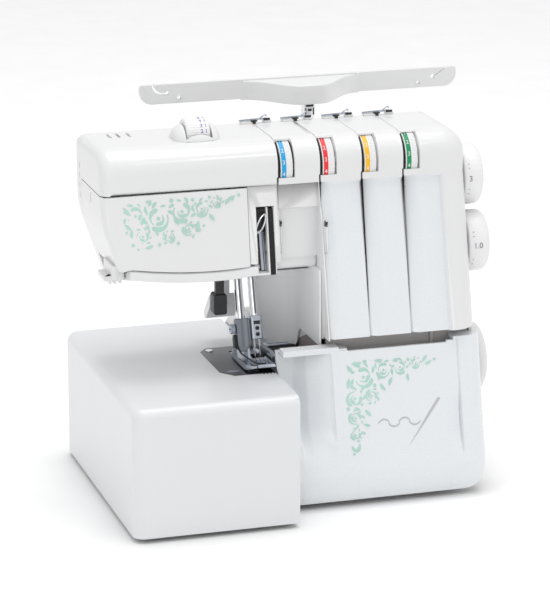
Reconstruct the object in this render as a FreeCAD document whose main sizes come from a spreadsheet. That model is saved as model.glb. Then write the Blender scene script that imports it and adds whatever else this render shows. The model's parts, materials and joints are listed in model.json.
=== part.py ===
import FreeCAD, Part
import math
import os
import re
from FreeCAD import Placement, Rotation, Vector
from Sketcher import Constraint

# Serger (overlock machine), in millimetres, +Z up.
# Pieces are drawn in workshop coordinates: x runs to the right from the extension table's right
# edge, y runs back from its front face, and z runs up from the table that the machine stands on.
# Each finished sub-part is then placed so that the model's origin is the middle of its footprint.

DIMENSIONS = {
    # middle of the footprint, in workshop coordinates
    "origin_x": 42.5, "origin_y": 144,
    # general
    "wall": 2.5, "gap": 0.4,
    # casing
    "head_left": -136, "casing_right": 164, "column_left": 38, "post_left": 23,
    "casing_top": 290, "hood_front": 76, "hood_bottom": 256, "hood_round": 20,
    "shoulder_round": 22,
    "column_front": 47, "column_bottom": 134.5, "parting_y": 142, "casing_back": 157,
    "head_front": 66, "head_bottom": 188, "head_bottom_back": 173, "face_right": -20,
    "panel_recess": 3, "panel_right": 140.5, "panel_left": 39, "slot_pitch": 34.3, "slot_first": 5,
    "slot_width": 1.6, "slot_depth": 5,
    "window_width": 14, "window_bottom": 261, "window_back": 90,
    # bed and base
    "plate_top": 107, "plate_left": -42, "plate_front": 66, "plate_back": 143, "plate_thick": 2.5,
    "table_left": -132, "table_depth": 229, "table_bottom": 4, "table_round": 9,
    "base_front": 62, "base_back": 229, "base_bottom": 6, "foot_height": 6,
    # looper cover
    "cover_left": 1.5, "cover_right": 168, "cover_top": 126, "cover_ridge": 28, "cover_bottom": 5,
    "cover_ridge_y": 29, "cover_top_y": 52, "cover_bottom_y": 36, "scoop_right": 41,
    "hinge_y": 44, "hinge_z": 14, "hinge_radius": 3,
    # needle bar and presser bar, which lean back together
    "bar_lean": 16.7, "bar_foot_y": 98.4, "needle_x": -4.5, "presser_x": -16, "bar_radius": 3.5,
    # drive
    "main_y": 109, "main_z": 92, "main_radius": 5, "upper_y": 130, "upper_z": 222, "upper_radius": 4,
    "pulley_radius": 14, "drive_radius": 28, "motor_y": 172, "motor_z": 50, "motor_pulley_radius": 6,
    "belt_thick": 1.6,
    # pivots of the loopers, the upper knife and the presser lifter
    "upper_pivot_y": 79, "upper_pivot_z": 52, "lower_pivot_x": 17, "lower_pivot_z": 40,
    "knife_pivot_y": 133, "knife_pivot_z": 108, "lifter_pivot_y": 149, "lifter_pivot_z": 177,
    # dials
    "dial_radius": 21.8, "dial_y": 98.6, "dial_z": 267.2, "post_radius": 2,
    "handwheel_radius": 30, "length_dial_y": 112, "length_dial_z": 245,
    "ratio_dial_y": 99, "ratio_dial_z": 193, "side_dial_radius": 25, "side_dial_reach": 17,
    "pressure_x": -52, "pressure_y": 112, "pressure_z": 292.2, "pressure_radius": 13.5,
    # thread stand
    "mast_x": 81, "mast_y": 235, "mast_radius": 5.5, "bar_y": 265, "bar_bottom": 283,
    "bar_height": 17, "bar_left": -57, "bar_right": 221, "pin_pitch": 72, "pin_first": -24,
    "pin_y": 262, "pin_top": 88, "stand_top": 20, "stand_bottom": 10,
    # running fit of shafts in their bores, on the radius
    "running": 0.05,
}

document = FreeCAD.newDocument("Serger")
sheet = document.addObject("Spreadsheet::Sheet", "Dims")
for row, (alias, value) in enumerate(DIMENSIONS.items(), start=1):
    sheet.set(f"A{row}", alias)
    sheet.set(f"B{row}", str(value))
    sheet.setAlias(f"B{row}", alias)
document.recompute()

sub_parts = []


def formula(size):
    """A size, given as a number or as words and arithmetic, as an expression on the sheet."""
    return re.sub(r"[a-z]\w*", lambda word: "Dims." + word.group(0), str(size))


def value_of(size):
    return float(sheet.evalExpression(formula(size))) if isinstance(size, str) else float(size)


# ---------------------------------------------------------------- building blocks

def box(x, y, z):
    """A box between two limits along each axis."""
    block = document.addObject("Part::Box", "Box")
    for prop, axis, (low, high) in (("Length", "x", x), ("Width", "y", y), ("Height", "z", z)):
        block.setExpression(prop, formula(f"({high}) - ({low})"))
        block.setExpression(f"Placement.Base.{axis}", formula(low))
    return block


TURNS = {"x": Rotation(Vector(0, 1, 0), 90), "y": Rotation(Vector(1, 0, 0), -90), "z": Rotation()}


def rod(axis, start, radius, length, tip_radius=None):
    """A cylinder, or a cone with a tip radius, that runs from start along an axis."""
    kind = "Part::Cylinder" if tip_radius is None else "Part::Cone"
    bar = document.addObject(kind, "Rod")
    bar.Placement = Placement(Vector(), TURNS[axis])
    if tip_radius is None:
        bar.setExpression("Radius", formula(radius))
    else:
        bar.setExpression("Radius1", formula(radius))
        bar.setExpression("Radius2", formula(tip_radius))
    bar.setExpression("Height", formula(length))
    for name, place in zip("xyz", start):
        bar.setExpression(f"Placement.Base.{name}", formula(place))
    return bar


def sphere(centre, radius):
    ball = document.addObject("Part::Sphere", "Ball")
    ball.setExpression("Radius", formula(radius))
    for name, place in zip("xyz", centre):
        ball.setExpression(f"Placement.Base.{name}", formula(place))
    return ball


def join(*pieces):
    fused = document.addObject("Part::MultiFuse", "Join")
    fused.Shapes = list(pieces)
    return fused


def together(*pieces):
    """Separate solids that share one sub-part."""
    group = document.addObject("Part::Compound", "Group")
    group.Links = list(pieces)
    return group


def cut(base, *tools):
    result = document.addObject("Part::Cut", "Cut")
    result.Base = base
    result.Tool = tools[0] if len(tools) == 1 else join(*tools)
    return result


def overlap(first, second):
    result = document.addObject("Part::Common", "Common")
    result.Base = first
    result.Tool = second
    return result


def rounded(piece, *choices):
    """The piece with fillets: each choice is a radius and a test for the edges that get it."""
    document.recompute()
    result = document.addObject("Part::Fillet", "Fillet")
    result.Base = piece
    edges = []
    for radius, chosen in choices:
        size = value_of(radius)
        edges += [(number, size, size) for number, edge in enumerate(piece.Shape.Edges, start=1)
                  if chosen(edge)]
    result.Edges = edges
    return result


def along(axis, **limits):
    """A test for straight edges along an axis whose middle lies at the given places."""
    direction = {"x": Vector(1, 0, 0), "y": Vector(0, 1, 0), "z": Vector(0, 0, 1)}[axis]
    places = {name: [value_of(v) for v in (spots if isinstance(spots, tuple) else (spots,))]
              for name, spots in limits.items()}

    def test(edge):
        if not isinstance(edge.Curve, (Part.Line, Part.LineSegment)):
            return False
        if edge.tangentAt(edge.FirstParameter).cross(direction).Length > 0.01:
            return False
        middle = edge.CenterOfMass
        return all(any(abs(getattr(middle, name) - spot) < 0.05 for spot in spots)
                   for name, spots in places.items())
    return test


def sketched(plane, offset, outline):
    """A body with one sketch: a closed outline of (a, b) or (a, b, corner radius) points.

    Every corner is tied to the sheet by its two distances from the sketch's origin.
    """
    body = document.addObject("PartDesign::Body", "Body")
    sketch = body.newObject("Sketcher::SketchObject", "Sketch")
    plane_object = [item for item in body.Origin.OriginFeatures if item.Role == plane][0]
    sketch.AttachmentSupport = [(plane_object, "")]
    sketch.MapMode = "FlatFace"
    sketch.setExpression("AttachmentOffset.Base.z", formula(offset))

    corners = [Vector(value_of(point[0]), value_of(point[1]), 0) for point in outline]
    radii = [value_of(point[2]) if len(point) > 2 else 0 for point in outline]
    count = len(corners)
    starts, ends, arcs = [], [], {}
    for number, (corner, radius) in enumerate(zip(corners, radii)):
        to_last = (corners[number - 1] - corner).normalize()
        to_next = (corners[(number + 1) % count] - corner).normalize()
        if not radius:
            ends.append(corner)
            starts.append(corner)
            continue
        half = to_last.getAngle(to_next) / 2
        reach = radius / math.tan(half)
        ends.append(corner + to_last * reach)
        starts.append(corner + to_next * reach)
        centre = corner + (to_last + to_next).normalize() * (radius / math.sin(half))
        middle = centre + (corner - centre).normalize() * radius
        turns_left = to_next.cross(to_last).z > 0
        tips = (ends[-1], starts[-1]) if turns_left else (starts[-1], ends[-1])
        arcs[number] = Part.Arc(tips[0], middle, tips[1])
    for number in range(count):
        sketch.addGeometry(Part.LineSegment(starts[number], ends[(number + 1) % count]), False)
    for number, arc in arcs.items():
        place = sketch.addGeometry(arc, False)
        arcs[number] = (place, sketch.Geometry[place])

    def tie(geometry, vertex, point):
        for kind, size in (("DistanceX", point[0]), ("DistanceY", point[1])):
            made = sketch.addConstraint(Constraint(kind, -1, 1, geometry, vertex, value_of(size)))
            sketch.setExpression(f"Constraints[{made}]", formula(size))

    for number, point in enumerate(outline):
        before, after = (number - 1) % count, number
        if number not in arcs:
            sketch.addConstraint(Constraint("Coincident", before, 2, after, 1))
            tie(after, 1, point)
            continue
        place, arc = arcs[number]
        near = (arc.StartPoint - ends[number]).Length < (arc.EndPoint - ends[number]).Length
        first, last = (1, 2) if near else (2, 1)
        corner = sketch.addGeometry(Part.Point(corners[number]), True)
        tie(corner, 1, point)
        sketch.addConstraint(Constraint("PointOnObject", corner, 1, before))
        sketch.addConstraint(Constraint("PointOnObject", corner, 1, after))
        sketch.addConstraint(Constraint("Tangent", before, 2, place, first))
        sketch.addConstraint(Constraint("Tangent", after, 1, place, last))
        made = sketch.addConstraint(Constraint("Radius", place, radii[number]))
        sketch.setExpression(f"Constraints[{made}]", formula(point[2]))
    return body, sketch


def prism(axis, low, high, outline):
    """A pad of an outline along an axis: (y, z) points for x, (x, z) for y and (x, y) for z."""
    plane = {"x": "YZ_Plane", "y": "XZ_Plane", "z": "XY_Plane"}[axis]
    offset = f"-({high})" if axis == "y" else low
    body, sketch = sketched(plane, offset, outline)
    pad = body.newObject("PartDesign::Pad", "Pad")
    pad.Profile = sketch
    pad.setExpression("Length", formula(f"({high}) - ({low})"))
    return body


def turned(axis, centre, outline):
    """A revolved body; the outline's points are (radius, distance along the axis)."""
    body, sketch = sketched("XZ_Plane", 0, outline)
    turn = body.newObject("PartDesign::Revolution", "Turn")
    turn.Profile = sketch
    turn.ReferenceAxis = (sketch, ["V_Axis"])
    turn.Angle = 360
    body.Placement = Placement(Vector(), TURNS[axis])
    for name, place in zip("xyz", centre):
        body.setExpression(f"Placement.Base.{name}", formula(place))
    return body


def sub_part(label, piece, place=None, lean=None):
    """Name a finished sub-part and place it about the model's origin.

    place is where its own drawing origin goes, and lean tips it back about x.
    """
    if piece.TypeId in ("Part::Box", "Part::Cylinder", "Part::Cone", "Part::Torus") or (
            piece.TypeId == "PartDesign::Body" and piece.ExpressionEngine):
        piece = together(piece)
    x, y, z = place or (0, 0, 0)
    if lean:
        piece.Placement = Placement(Vector(), Rotation(Vector(1, 0, 0), -value_of(lean)))
    piece.setExpression("Placement.Base.x", formula(f"{x} - origin_x"))
    piece.setExpression("Placement.Base.y", formula(f"{y} - origin_y"))
    piece.setExpression("Placement.Base.z", formula(z))
    piece.Label = label
    sub_parts.append(piece)
    return piece


# ---------------------------------------------------------------- base

def base():
    plate = prism("x", "table_left+8", "casing_right-6", [
        ("base_front", "base_bottom"), ("base_front", "base_bottom+3"), ("base_back-6", "base_bottom+3"),
        ("base_back-6", "base_bottom")])
    lugs = [box((x, x + 4), ("hinge_y-5", "base_front+2"), ("hinge_z-5", "hinge_z+5"))
            for x in (6, 150)]
    bore = rod("x", (0, "hinge_y", "hinge_z"), "hinge_radius+running", 165)
    ribs = [box((x, x + 3), (70, "base_back-10"), ("base_bottom+2", "base_bottom+12"))
            for x in (-112, -90, -70)]
    rail = box((4, "casing_right-6"), ("base_front", "base_front+3"), ("base_bottom", "hinge_z+5"))
    sub_part("base_tray", cut(join(plate, *ribs, rail, *lugs), bore))

    feet = [rod("z", (x, y, 0), 9, "base_bottom", 10) for x in (-110, 143) for y in (76, 205)]
    sub_part("rubber_feet", together(*feet))


def chassis():
    """Cast frame: floor plate, two uprights that carry the shafts, and the arm above the bars."""
    floor = box((6, 156), (76, 214), (17, 20))
    outline = [(76, 18), (76, 132), (95, 243), (122, 243), (122, 262), (138, 262), (138, 18)]
    uprights = [prism("x", x, x + 4, outline) for x in (46, 134)]
    arm = box((-30, 138), (122, 138), (246, 262))
    web = box((-30, -26), (112, 138), (188, 262))
    blocks = [box((-30, 0), (y, y + 22), (z, z + 8)) for y, z in ((112, 188), (125, 234))]
    post = box((12, 22), (118, 126), (18, 46))
    bracket = box((-33, -30), (130, 152), (173, 262))
    rests = [box((x, x + 6), (y, y + 6), ("base_bottom+3", 18)) for x in (8, 148) for y in (78, 206)]
    body = join(floor, *uprights, arm, web, *blocks, post, bracket, *rests)
    bores = [
        rod("x", (0, "main_y", "main_z"), "main_radius+running", 170),
        rod("x", (2, "upper_y", "upper_z"), "upper_radius+running", 160),
        rod("x", (2, "upper_y", "upper_z"), 13, 6),
        rod("x", (30, "upper_pivot_y", "upper_pivot_z"), "post_radius", 25),
        rod("x", (30, "knife_pivot_y", "knife_pivot_z"), "post_radius", 25),
        rod("y", ("lower_pivot_x", 100, "lower_pivot_z"), "post_radius", 60),
        rod("x", (-40, "lifter_pivot_y", "lifter_pivot_z"), 1.5, 15),
    ]
    bars = together(*[rod("z", (x, 0, 0), "bar_radius+running", 250) for x in ("needle_x", "presser_x")])
    bars.setExpression("Placement.Base.y", formula("bar_foot_y"))
    bars.setExpression("Placement.Base.z", formula("plate_top"))
    bars.Placement.Rotation = Rotation(Vector(1, 0, 0), -value_of("bar_lean"))
    sub_part("chassis", cut(body, *bores, bars))


def free_arm():
    """Narrow arm under the extension table that carries the needle plate."""
    outer = rounded(box(("plate_left-16", 0), ("plate_front-1", "plate_back+1"),
                        ("base_bottom+3", "plate_top-plate_thick")),
                    (6, along("z", x="plate_left-16", y=("plate_front-1", "plate_back+1"))))
    inner = box(("plate_left-13.5", 1), ("plate_front+1.5", "plate_back-1.5"), (0, 102))
    well = box((-26, 1), (72, 134), (90, 110))
    screw_hole = rod("z", (-35, 135, 90), 1.45, 20)
    sub_part("free_arm", cut(outer, inner, well, screw_hole))


def needle_plate():
    plate = prism("z", "plate_top-plate_thick", "plate_top", [
        ("plate_left+9", "plate_front"), (-0.3, "plate_front"), (-0.3, "plate_back"),
        ("plate_left+7", "plate_back", 3), ("plate_left", "plate_back-8", 3),
        ("plate_left", "plate_front+12", 4)])
    dog_slots = [box((x - 0.5, x + 3.5), span, (100, 110))
                 for x in (-19.5, -13.5) for span in ((73.5, 96.5), (103, 130.5))]
    needle_slot = box((-8.5, -1), (94, 112), (100, 110))
    notches = [box((x, x + 1.1), (60, 80), (100, 110)) for x in (-9.4, -6.6, -3.8)]
    screw_hole = join(rod("z", (-35, 135, 100), 1.6, 20), rod("z", (-35, 135, "plate_top-0.6"), 3.1, 5))
    sub_part("needle_plate", cut(plate, *dog_slots, needle_slot, *notches, screw_hole))
    knife = box((0.1, 1.9), (84, 97), (88, "plate_top-0.2"))
    holder = box((0.1, 9), (78, 84), (60, 98))
    stay = box((0.1, 9), (84, 97), (60, 80))
    sub_part("lower_knife", join(knife, holder, stay))


# ---------------------------------------------------------------- casing

COLUMN_LEAN = "(hood_front-column_front)/(hood_bottom-column_bottom)"


def column_line(z, depth=0):
    """A point on the leaning column front, some distance behind its face."""
    return (f"column_front + ({z}-column_bottom)*{COLUMN_LEAN} + {depth}", z)


def head_side(inset=0):
    """The outline of the head seen from the front; its left end curves in towards the bottom."""
    return prism("y", 0, "casing_back", [
        (f"head_left+{inset}", f"casing_top-{inset}", f"9-{inset}"), (f"head_left+{inset}", 232, 80),
        (f"-115.5+{inset}", 172), (f"-115.5+{inset}", 100), (f"casing_right-{inset}", 100),
        (f"casing_right-{inset}", f"casing_top-{inset}", f"shoulder_round-{inset}")])


def casing_block(inset, low, drop):
    """The column and the hood above it, or the space inside them, as one rounded block."""
    front = f"hood_front + {drop}"
    top = f"casing_top - {inset}"
    right = f"casing_right - {inset}"
    block = prism("x", f"column_left + {inset}", right, [
        column_line(low, drop), column_line("hood_bottom", drop), (front, top),
        (f"parting_y + {inset}", top), (f"parting_y + {inset}", low)])
    edge_x, front_y = value_of(right), value_of(front)

    def front_right(edge):
        middle = edge.CenterOfMass
        return abs(middle.x - edge_x) < 0.05 and middle.y < front_y + 0.1 and middle.z > value_of(low) + 1

    return rounded(block, (f"hood_round - {inset}", along("x", y=front, z=top)),
                   (f"shoulder_round - {inset}", along("y", x=right, z=top)),
                   (f"hood_round - {inset}", front_right))


def hood_block(inset, low, drop):
    """The hood over the head, or the space inside it."""
    front, top = f"hood_front + {drop}", f"casing_top - {inset}"
    block = prism("x", f"head_left + {inset}", "column_left + 5", [
        (front, low), (front, top), (f"parting_y + {inset}", top), (f"parting_y + {inset}", low)])
    return rounded(block, (f"hood_round - {inset}", along("x", y=front, z=top)),
                   (f"9 - {inset}", along("y", x=f"head_left + {inset}", z=top)),
                   (f"9 - {inset}", along("z", x=f"head_left + {inset}", y=front)))


def front_cover():
    body = join(casing_block(0, "column_bottom", 0), hood_block(0, "hood_bottom", 0), *[
        prism("x", "face_right+0.5", "column_left", [
            (82, "hood_bottom"), (79, 196), ("parting_y", 182), ("parting_y", "hood_bottom")]),
        prism("x", "slot_first", "column_left", [
            ("hood_front+3", "hood_bottom"), ("hood_front", 237), (86, 233), (90, "hood_bottom")]),
        prism("x", "face_right+0.5", "slot_first", [
            ("hood_front+1", "hood_bottom"), ("head_front+1.5", 196), (90, 196), (90, "hood_bottom")]),
        prism("x", "column_left", "column_left+wall", [
            ("column_front+13", 136), ("column_front+15", 132), (100, 126, 40), (125, 115, 15),
            ("parting_y", 113), ("parting_y", 136)]),
    ])
    inside = [
        casing_block("wall", "column_bottom-5", 7.7),
        hood_block("wall", "hood_bottom+3", 3),
        prism("x", "face_right-1", "column_left+3", [
            (86, "hood_bottom+4"), (83, 190), ("parting_y+1", 170), ("parting_y+1", "hood_bottom+4")]),
        prism("x", "head_left+wall", "face_right+1", [
            (84, "hood_bottom+4"), (84, 250), ("parting_y+1", 250), ("parting_y+1", "hood_bottom+4")]),
    ]
    recess = prism("x", "panel_left", "panel_right", [
        column_line("column_bottom-1", -8), column_line("column_bottom-1", "panel_recess"),
        column_line("hood_bottom", "panel_recess"), column_line("hood_bottom", -8)])
    windows, slots, wells = [], [], []
    for number in range(4):
        left = f"slot_first + {number}*slot_pitch"
        windows.append(box((left, f"{left} + window_width"), (60, "window_back"), ("window_bottom", 300)))
        wells.append(rod("x", (f"{left}+2.2", "dial_y", "dial_z"), "dial_radius+gap", 11.1))
        low = "column_bottom-2" if number > 1 else 236
        slots.append(prism("x", f"{left} - slot_width/2", f"{left} + slot_width/2", [
            column_line(low, -8), column_line(low, "slot_depth"),
            column_line("window_bottom+1", "slot_depth"), column_line("window_bottom+1", -8)]))
    take_up = box((-13.5, 1), (50, 83.5), (180, 240))
    shafts = [rod("x", (150, f"{dial}_dial_y", f"{dial}_dial_z"), 4.5, 20) for dial in ("length", "ratio")]
    wheel_slot = box(("pressure_x-10.5", "pressure_x+10.5"), ("pressure_y-17", "pressure_y+17"), (280, 295))
    body = cut(cut(body, *inside), recess, *windows, *slots, *wells)
    sub_part("front_cover", cut(body, take_up, *shafts, wheel_slot))


def face_cover():
    """The panel below the hood on the left, with the head's curved left end and the thread cutter."""

    def panel(front, back, low, high, inset):
        slope = "10.5*(hood_bottom-195)/(hood_bottom-head_bottom)"
        return overlap(prism("x", "head_left", "face_right", [
            (front, low), (f"{front} + {slope}", high), (back, high), (back, low)]), head_side(inset))

    def left_front(edge):
        size = edge.BoundBox
        return size.ZLength > 10 and size.XMax < -110 and size.YMax < value_of("hood_front") + 2

    outer = rounded(panel("head_front+0.5", "parting_y-0.3", 195, "hood_bottom-0.3", 0), (6, left_front))
    shell = cut(outer, panel("head_front+3", "parting_y+2", 190, "hood_bottom+2", "wall"))
    comb = [box((x, x + 2), (84, 106), (184.5, 187.5)) for x in (-129, -125, -121)]
    plate = box((-133, -117), (84, 106), (187, 191))
    riser = box((-125, -117.5), (86, 104), (190, 197))
    sub_part("face_cover", join(shell, plate, riser, *comb))


def head_base():
    """The floor of the head, with openings for the bars, the threader and the lifter."""
    floor = prism("x", -116.5, "column_left-0.5", [
        ("head_front-0.5", "head_bottom-1"), ("head_front+0.7", 194.7, 3), (100, 187.5),
        ("parting_y-0.3", 179.5), ("parting_y-0.3", "head_bottom_back")])
    openings = [
        box((-21, 1), (104, 143), (160, 200)),
        box((-39, -20), (104, 143), (160, 200)),
        box((-13.5, 0), (60, 84), (188.5, 200)),
        box((-4.4, 1), (60, 73), (180, 200)),
    ]
    rim = box((-30, 50), (78, 150), (181.9, 200))
    sub_part("head_base", cut(floor, rim, *openings))


COVER_SCREWS = [(-100, "casing_back", 200), (-100, "casing_back", 270), (150, "casing_back", 270),
                (150, "casing_back", 150), (40, "casing_back", 150), (20, "base_back", 30),
                (145, "base_back", 30)]


def screw_holes():
    return [rod("y", (x, f"{y}-10", z), 1.6, 15) for x, y, z in COVER_SCREWS]


def rear_cover():
    head = prism("x", "head_left", "casing_right", [
        ("parting_y", 174), ("parting_y", "casing_top"), ("casing_back", "casing_top", 10),
        ("casing_back", 171)])
    column = box(("post_left", "casing_right"), ("parting_y", "casing_back"), ("column_bottom", 200))
    head_inside = prism("x", "head_left", "casing_right", [
        ("parting_y-1", 170), ("parting_y-1", "casing_top-wall"),
        ("casing_back-wall", "casing_top-wall", 7), ("casing_back-wall", 170)])
    column_inside = box(("post_left+wall", "casing_right-wall"), ("parting_y-1", "casing_back-wall"),
                        (120, 200))
    outer = overlap(join(head, column), head_side())
    inner = overlap(join(head_inside, column_inside), head_side("wall"))
    lever_slot = box((-36, -5), (140, 160), (170, 188))
    sub_part("rear_cover", cut(outer, inner, lever_slot, *screw_holes()))


def lower_covers():
    outline = [("parting_y", "base_bottom+3.5"), ("parting_y", "column_bottom-0.5"),
               ("casing_back+4", "column_bottom-0.5", 6), ("base_back-22", 112, 30),
               ("base_back", 92, 18), ("base_back", "base_bottom+3.5")]
    inside = [("parting_y-1", 0), ("parting_y-1", "column_bottom-3"),
              ("casing_back+3", "column_bottom-3", 5), ("base_back-24", 109, 28),
              ("base_back-wall", 90, 16), ("base_back-wall", 0)]
    outer = prism("x", 1, "casing_right", outline)
    inner = prism("x", "1+wall", "casing_right-wall", inside)
    socket = box(("casing_right-4", "casing_right+1"), (176, 202), (22, 48))
    switch = box(("casing_right-4", "casing_right+1"), (206, 222), (24, 46))
    bulkhead = box((1, "column_left+2"), ("parting_y", "parting_y+wall"), (60, "column_bottom-1"))
    sub_part("rear_base_cover", join(cut(outer, inner, socket, switch, *screw_holes()), bulkhead))

    side = prism("x", "casing_right-wall", "casing_right", [
        (66, "base_bottom+3.5"), (66, "column_bottom-1"), ("parting_y-0.3", "column_bottom-1"),
        ("parting_y-0.3", "base_bottom+3.5")])
    sub_part("side_cover", cut(side, rod("x", (150, "main_y", "main_z"), 12, 30)))


def looper_cover():
    """Front door over the loopers, with a chip chute on its left and a finger crease on its right."""
    front = prism("x", "cover_left", "cover_right", [
        ("cover_bottom_y", "cover_bottom"), ("cover_ridge_y", "cover_ridge", 14),
        ("cover_top_y", "cover_top"), (64, "cover_top"), (64, "cover_bottom")])
    face = prism("y", 0, 100, [
        ("cover_left", "cover_bottom-1"), ("cover_right", "cover_bottom-1", 20),
        ("cover_right", "cover_top+1", 5), ("cover_left", "cover_top+1")])
    inner = prism("x", "cover_left-1", "cover_right-wall", [
        ("cover_bottom_y+wall", "cover_bottom-2"), ("cover_ridge_y+wall", "cover_ridge", 12),
        ("cover_top_y+wall", "cover_top-wall"), (70, "cover_top-wall"), (70, "cover_bottom-2")])
    shell = cut(overlap(front, face), inner)
    opening = box(("cover_left-1", "scoop_right-2.5"), (0, 62), (44, "cover_top-5"))
    chute_outer = prism("x", "cover_left", "scoop_right", [
        (33, 42), (55.5, "cover_top"), (74, "cover_top"), (74, 118, 8), (58, 62, 30), (33, 38)])
    chute_inner = prism("x", "cover_left-1", "scoop_right-wall", [
        (20, 42), (20, "cover_top-5"), (71.5, "cover_top-5"), (71.5, 118, 6), (55.5, 64, 30), (32, 41)])
    ledge = box(("cover_left", 56), ("cover_top_y-0.5", 64), ("cover_top-4", "cover_top+4"))
    corner = box((141, "cover_right"), ("cover_top_y", 64), ("cover_top-2", "cover_top+2"))
    lugs = [box((x, x + 4), ("cover_ridge_y+1.5", "hinge_y+5"), ("hinge_z-5", "hinge_z+8"))
            for x in (13, 137)]
    crease = prism("z", 34, "cover_top+10", [(144.5, 0), (147.5, 0), (147.5, 60), (144.5, 60)])
    groove = overlap(crease, prism("x", 140, 150, [
        (20, 20), ("cover_ridge_y+1.2", "cover_ridge"), ("cover_top_y+1.2", "cover_top"), (53, 140),
        (20, 140)]))
    door = cut(join(cut(shell, opening), cut(chute_outer, chute_inner), ledge, corner, *lugs), groove)
    bore = rod("x", (0, "hinge_y", "hinge_z"), "hinge_radius+running", 165)
    sub_part("looper_cover", cut(door, bore))
    sub_part("cover_hinge_rod", rod("x", (5, "hinge_y", "hinge_z"), "hinge_radius", 151))


def extension_table():
    outer = box(("table_left", 0), (0, "table_depth"), ("table_bottom", "plate_top"))
    outer = rounded(outer, ("table_round", along("z", x="table_left", y=(0, "table_depth"))),
                    ("table_round", along("x", y=(0, "table_depth"), z="plate_top")),
                    ("table_round", along("y", x="table_left", z="plate_top")))
    inner = rounded(box(("table_left+3", 1), (3, "table_depth-3"), (0, "plate_top-2.2")),
                    (6, along("z", x="table_left+3", y=(3, "table_depth-3"))),
                    (6, along("x", y=(3, "table_depth-3"), z="plate_top-2.2")),
                    (6, along("y", x="table_left+3", z="plate_top-2.2")))
    lip = box((-3, 0), (2.5, "plate_front-5"), ("table_bottom", "plate_top-2"))
    body = join(cut(outer, inner), lip)
    well = prism("z", 90, 120, [
        ("plate_left+8.7", "plate_front-0.4"), (10, "plate_front-0.4"), (10, "plate_back+0.4"),
        ("plate_left+6.8", "plate_back+0.4", 3), ("plate_left-0.4", "plate_back-7.8", 3),
        ("plate_left-0.4", "plate_front+11.8", 4)])
    sub_part("extension_table", cut(body, well))


# ---------------------------------------------------------------- drive

def drive():
    shaft = rod("x", (20, "main_y", "main_z"), "main_radius", 152)
    sub_part("main_shaft", shaft)
    outline = [("main_radius", 0), ("drive_radius-3", 0), ("drive_radius-3", 1), ("drive_radius", 1),
               ("drive_radius", 9), ("drive_radius-3", 9), ("pulley_radius", 12), ("pulley_radius", 20),
               ("main_radius", 20)]
    sub_part("lower_pulley", turned("x", (108, "main_y", "main_z"), outline))
    wheel = turned("x", (169, "main_y", "main_z"), [
        (0, 3), ("main_radius", 3), ("main_radius", 0), (11, 0), (11, 3), ("handwheel_radius-1.5", 3, 1.5),
        ("handwheel_radius", 10, 5), ("handwheel_radius-3", 15.5, 4), ("handwheel_radius-11", 17, 6),
        (0, 15.5)])
    sub_part("handwheel", wheel)

    upper = rod("x", (6, "upper_y", "upper_z"), "upper_radius", 132.5)
    crank = rod("x", (3, "upper_y", "upper_z"), 12, 4)
    sub_part("upper_shaft", join(upper, crank))
    sub_part("upper_pulley", turned("x", (118, "upper_y", "upper_z"), [
        ("upper_radius", 0), ("pulley_radius+2", 0), ("pulley_radius+2", 1.5), ("pulley_radius", 1.5),
        ("pulley_radius", 10.5), ("upper_radius", 10.5)]))

    can = rod("x", (30, "motor_y", "motor_z"), 24, 62)
    nose = rod("x", (92, "motor_y", "motor_z"), 9, 6)
    foot = box((40, 84), ("motor_y-18", "motor_y+18"), (20, "motor_z-14"))
    sub_part("motor", cut(join(can, nose, foot), rod("x", (80, "motor_y", "motor_z"), "3+running", 30)))
    rotor = rod("x", (81, "motor_y", "motor_z"), 3, 40)
    sub_part("motor_pulley", join(rotor, rod("x", (108, "motor_y", "motor_z"), "motor_pulley_radius", 10)))

    def belt(x, width, first, second, first_radius, second_radius):
        """A belt round two pulleys, with a small gap to each."""
        (y1, z1), (y2, z2) = first, second
        gap = value_of("gap")
        centre_gap = math.hypot(y2 - y1, z2 - z1)
        heading = math.atan2(z2 - z1, y2 - y1)
        swing = math.acos((first_radius - second_radius) / centre_gap)

        def loop(extra):
            points = []
            for sign in (1, -1):
                angle = heading + sign * swing
                for (y, z), radius in ((first, first_radius), (second, second_radius)):
                    reach = radius + gap + extra
                    points.append(Vector(x, y + reach * math.cos(angle), z + reach * math.sin(angle)))
            back = Vector(x, y1 - (first_radius + gap + extra) * math.cos(heading),
                          z1 - (first_radius + gap + extra) * math.sin(heading))
            tip = Vector(x, y2 + (second_radius + gap + extra) * math.cos(heading),
                         z2 + (second_radius + gap + extra) * math.sin(heading))
            edges = [Part.LineSegment(points[0], points[1]), Part.Arc(points[1], tip, points[3]),
                     Part.LineSegment(points[3], points[2]), Part.Arc(points[2], back, points[0])]
            return Part.Face(Part.Wire([edge.toShape() for edge in edges]))

        solid = loop(value_of("belt_thick")).extrude(Vector(width, 0, 0))
        return solid.cut(loop(0).extrude(Vector(width, 0, 0)))

    spots = {name: (value_of(f"{name}_y"), value_of(f"{name}_z")) for name in ("main", "upper", "motor")}
    pulley = value_of("pulley_radius")
    belts = Part.Compound([
        belt(120.5, 7, spots["main"], spots["upper"], pulley, pulley),
        belt(109.5, 7, spots["main"], spots["motor"], value_of("drive_radius"),
             value_of("motor_pulley_radius")),
    ])
    feature = document.addObject("Part::Feature", "Belts")
    feature.Shape = belts
    sub_part("drive_belts", together(feature))


# ---------------------------------------------------------------- needle and presser

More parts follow.
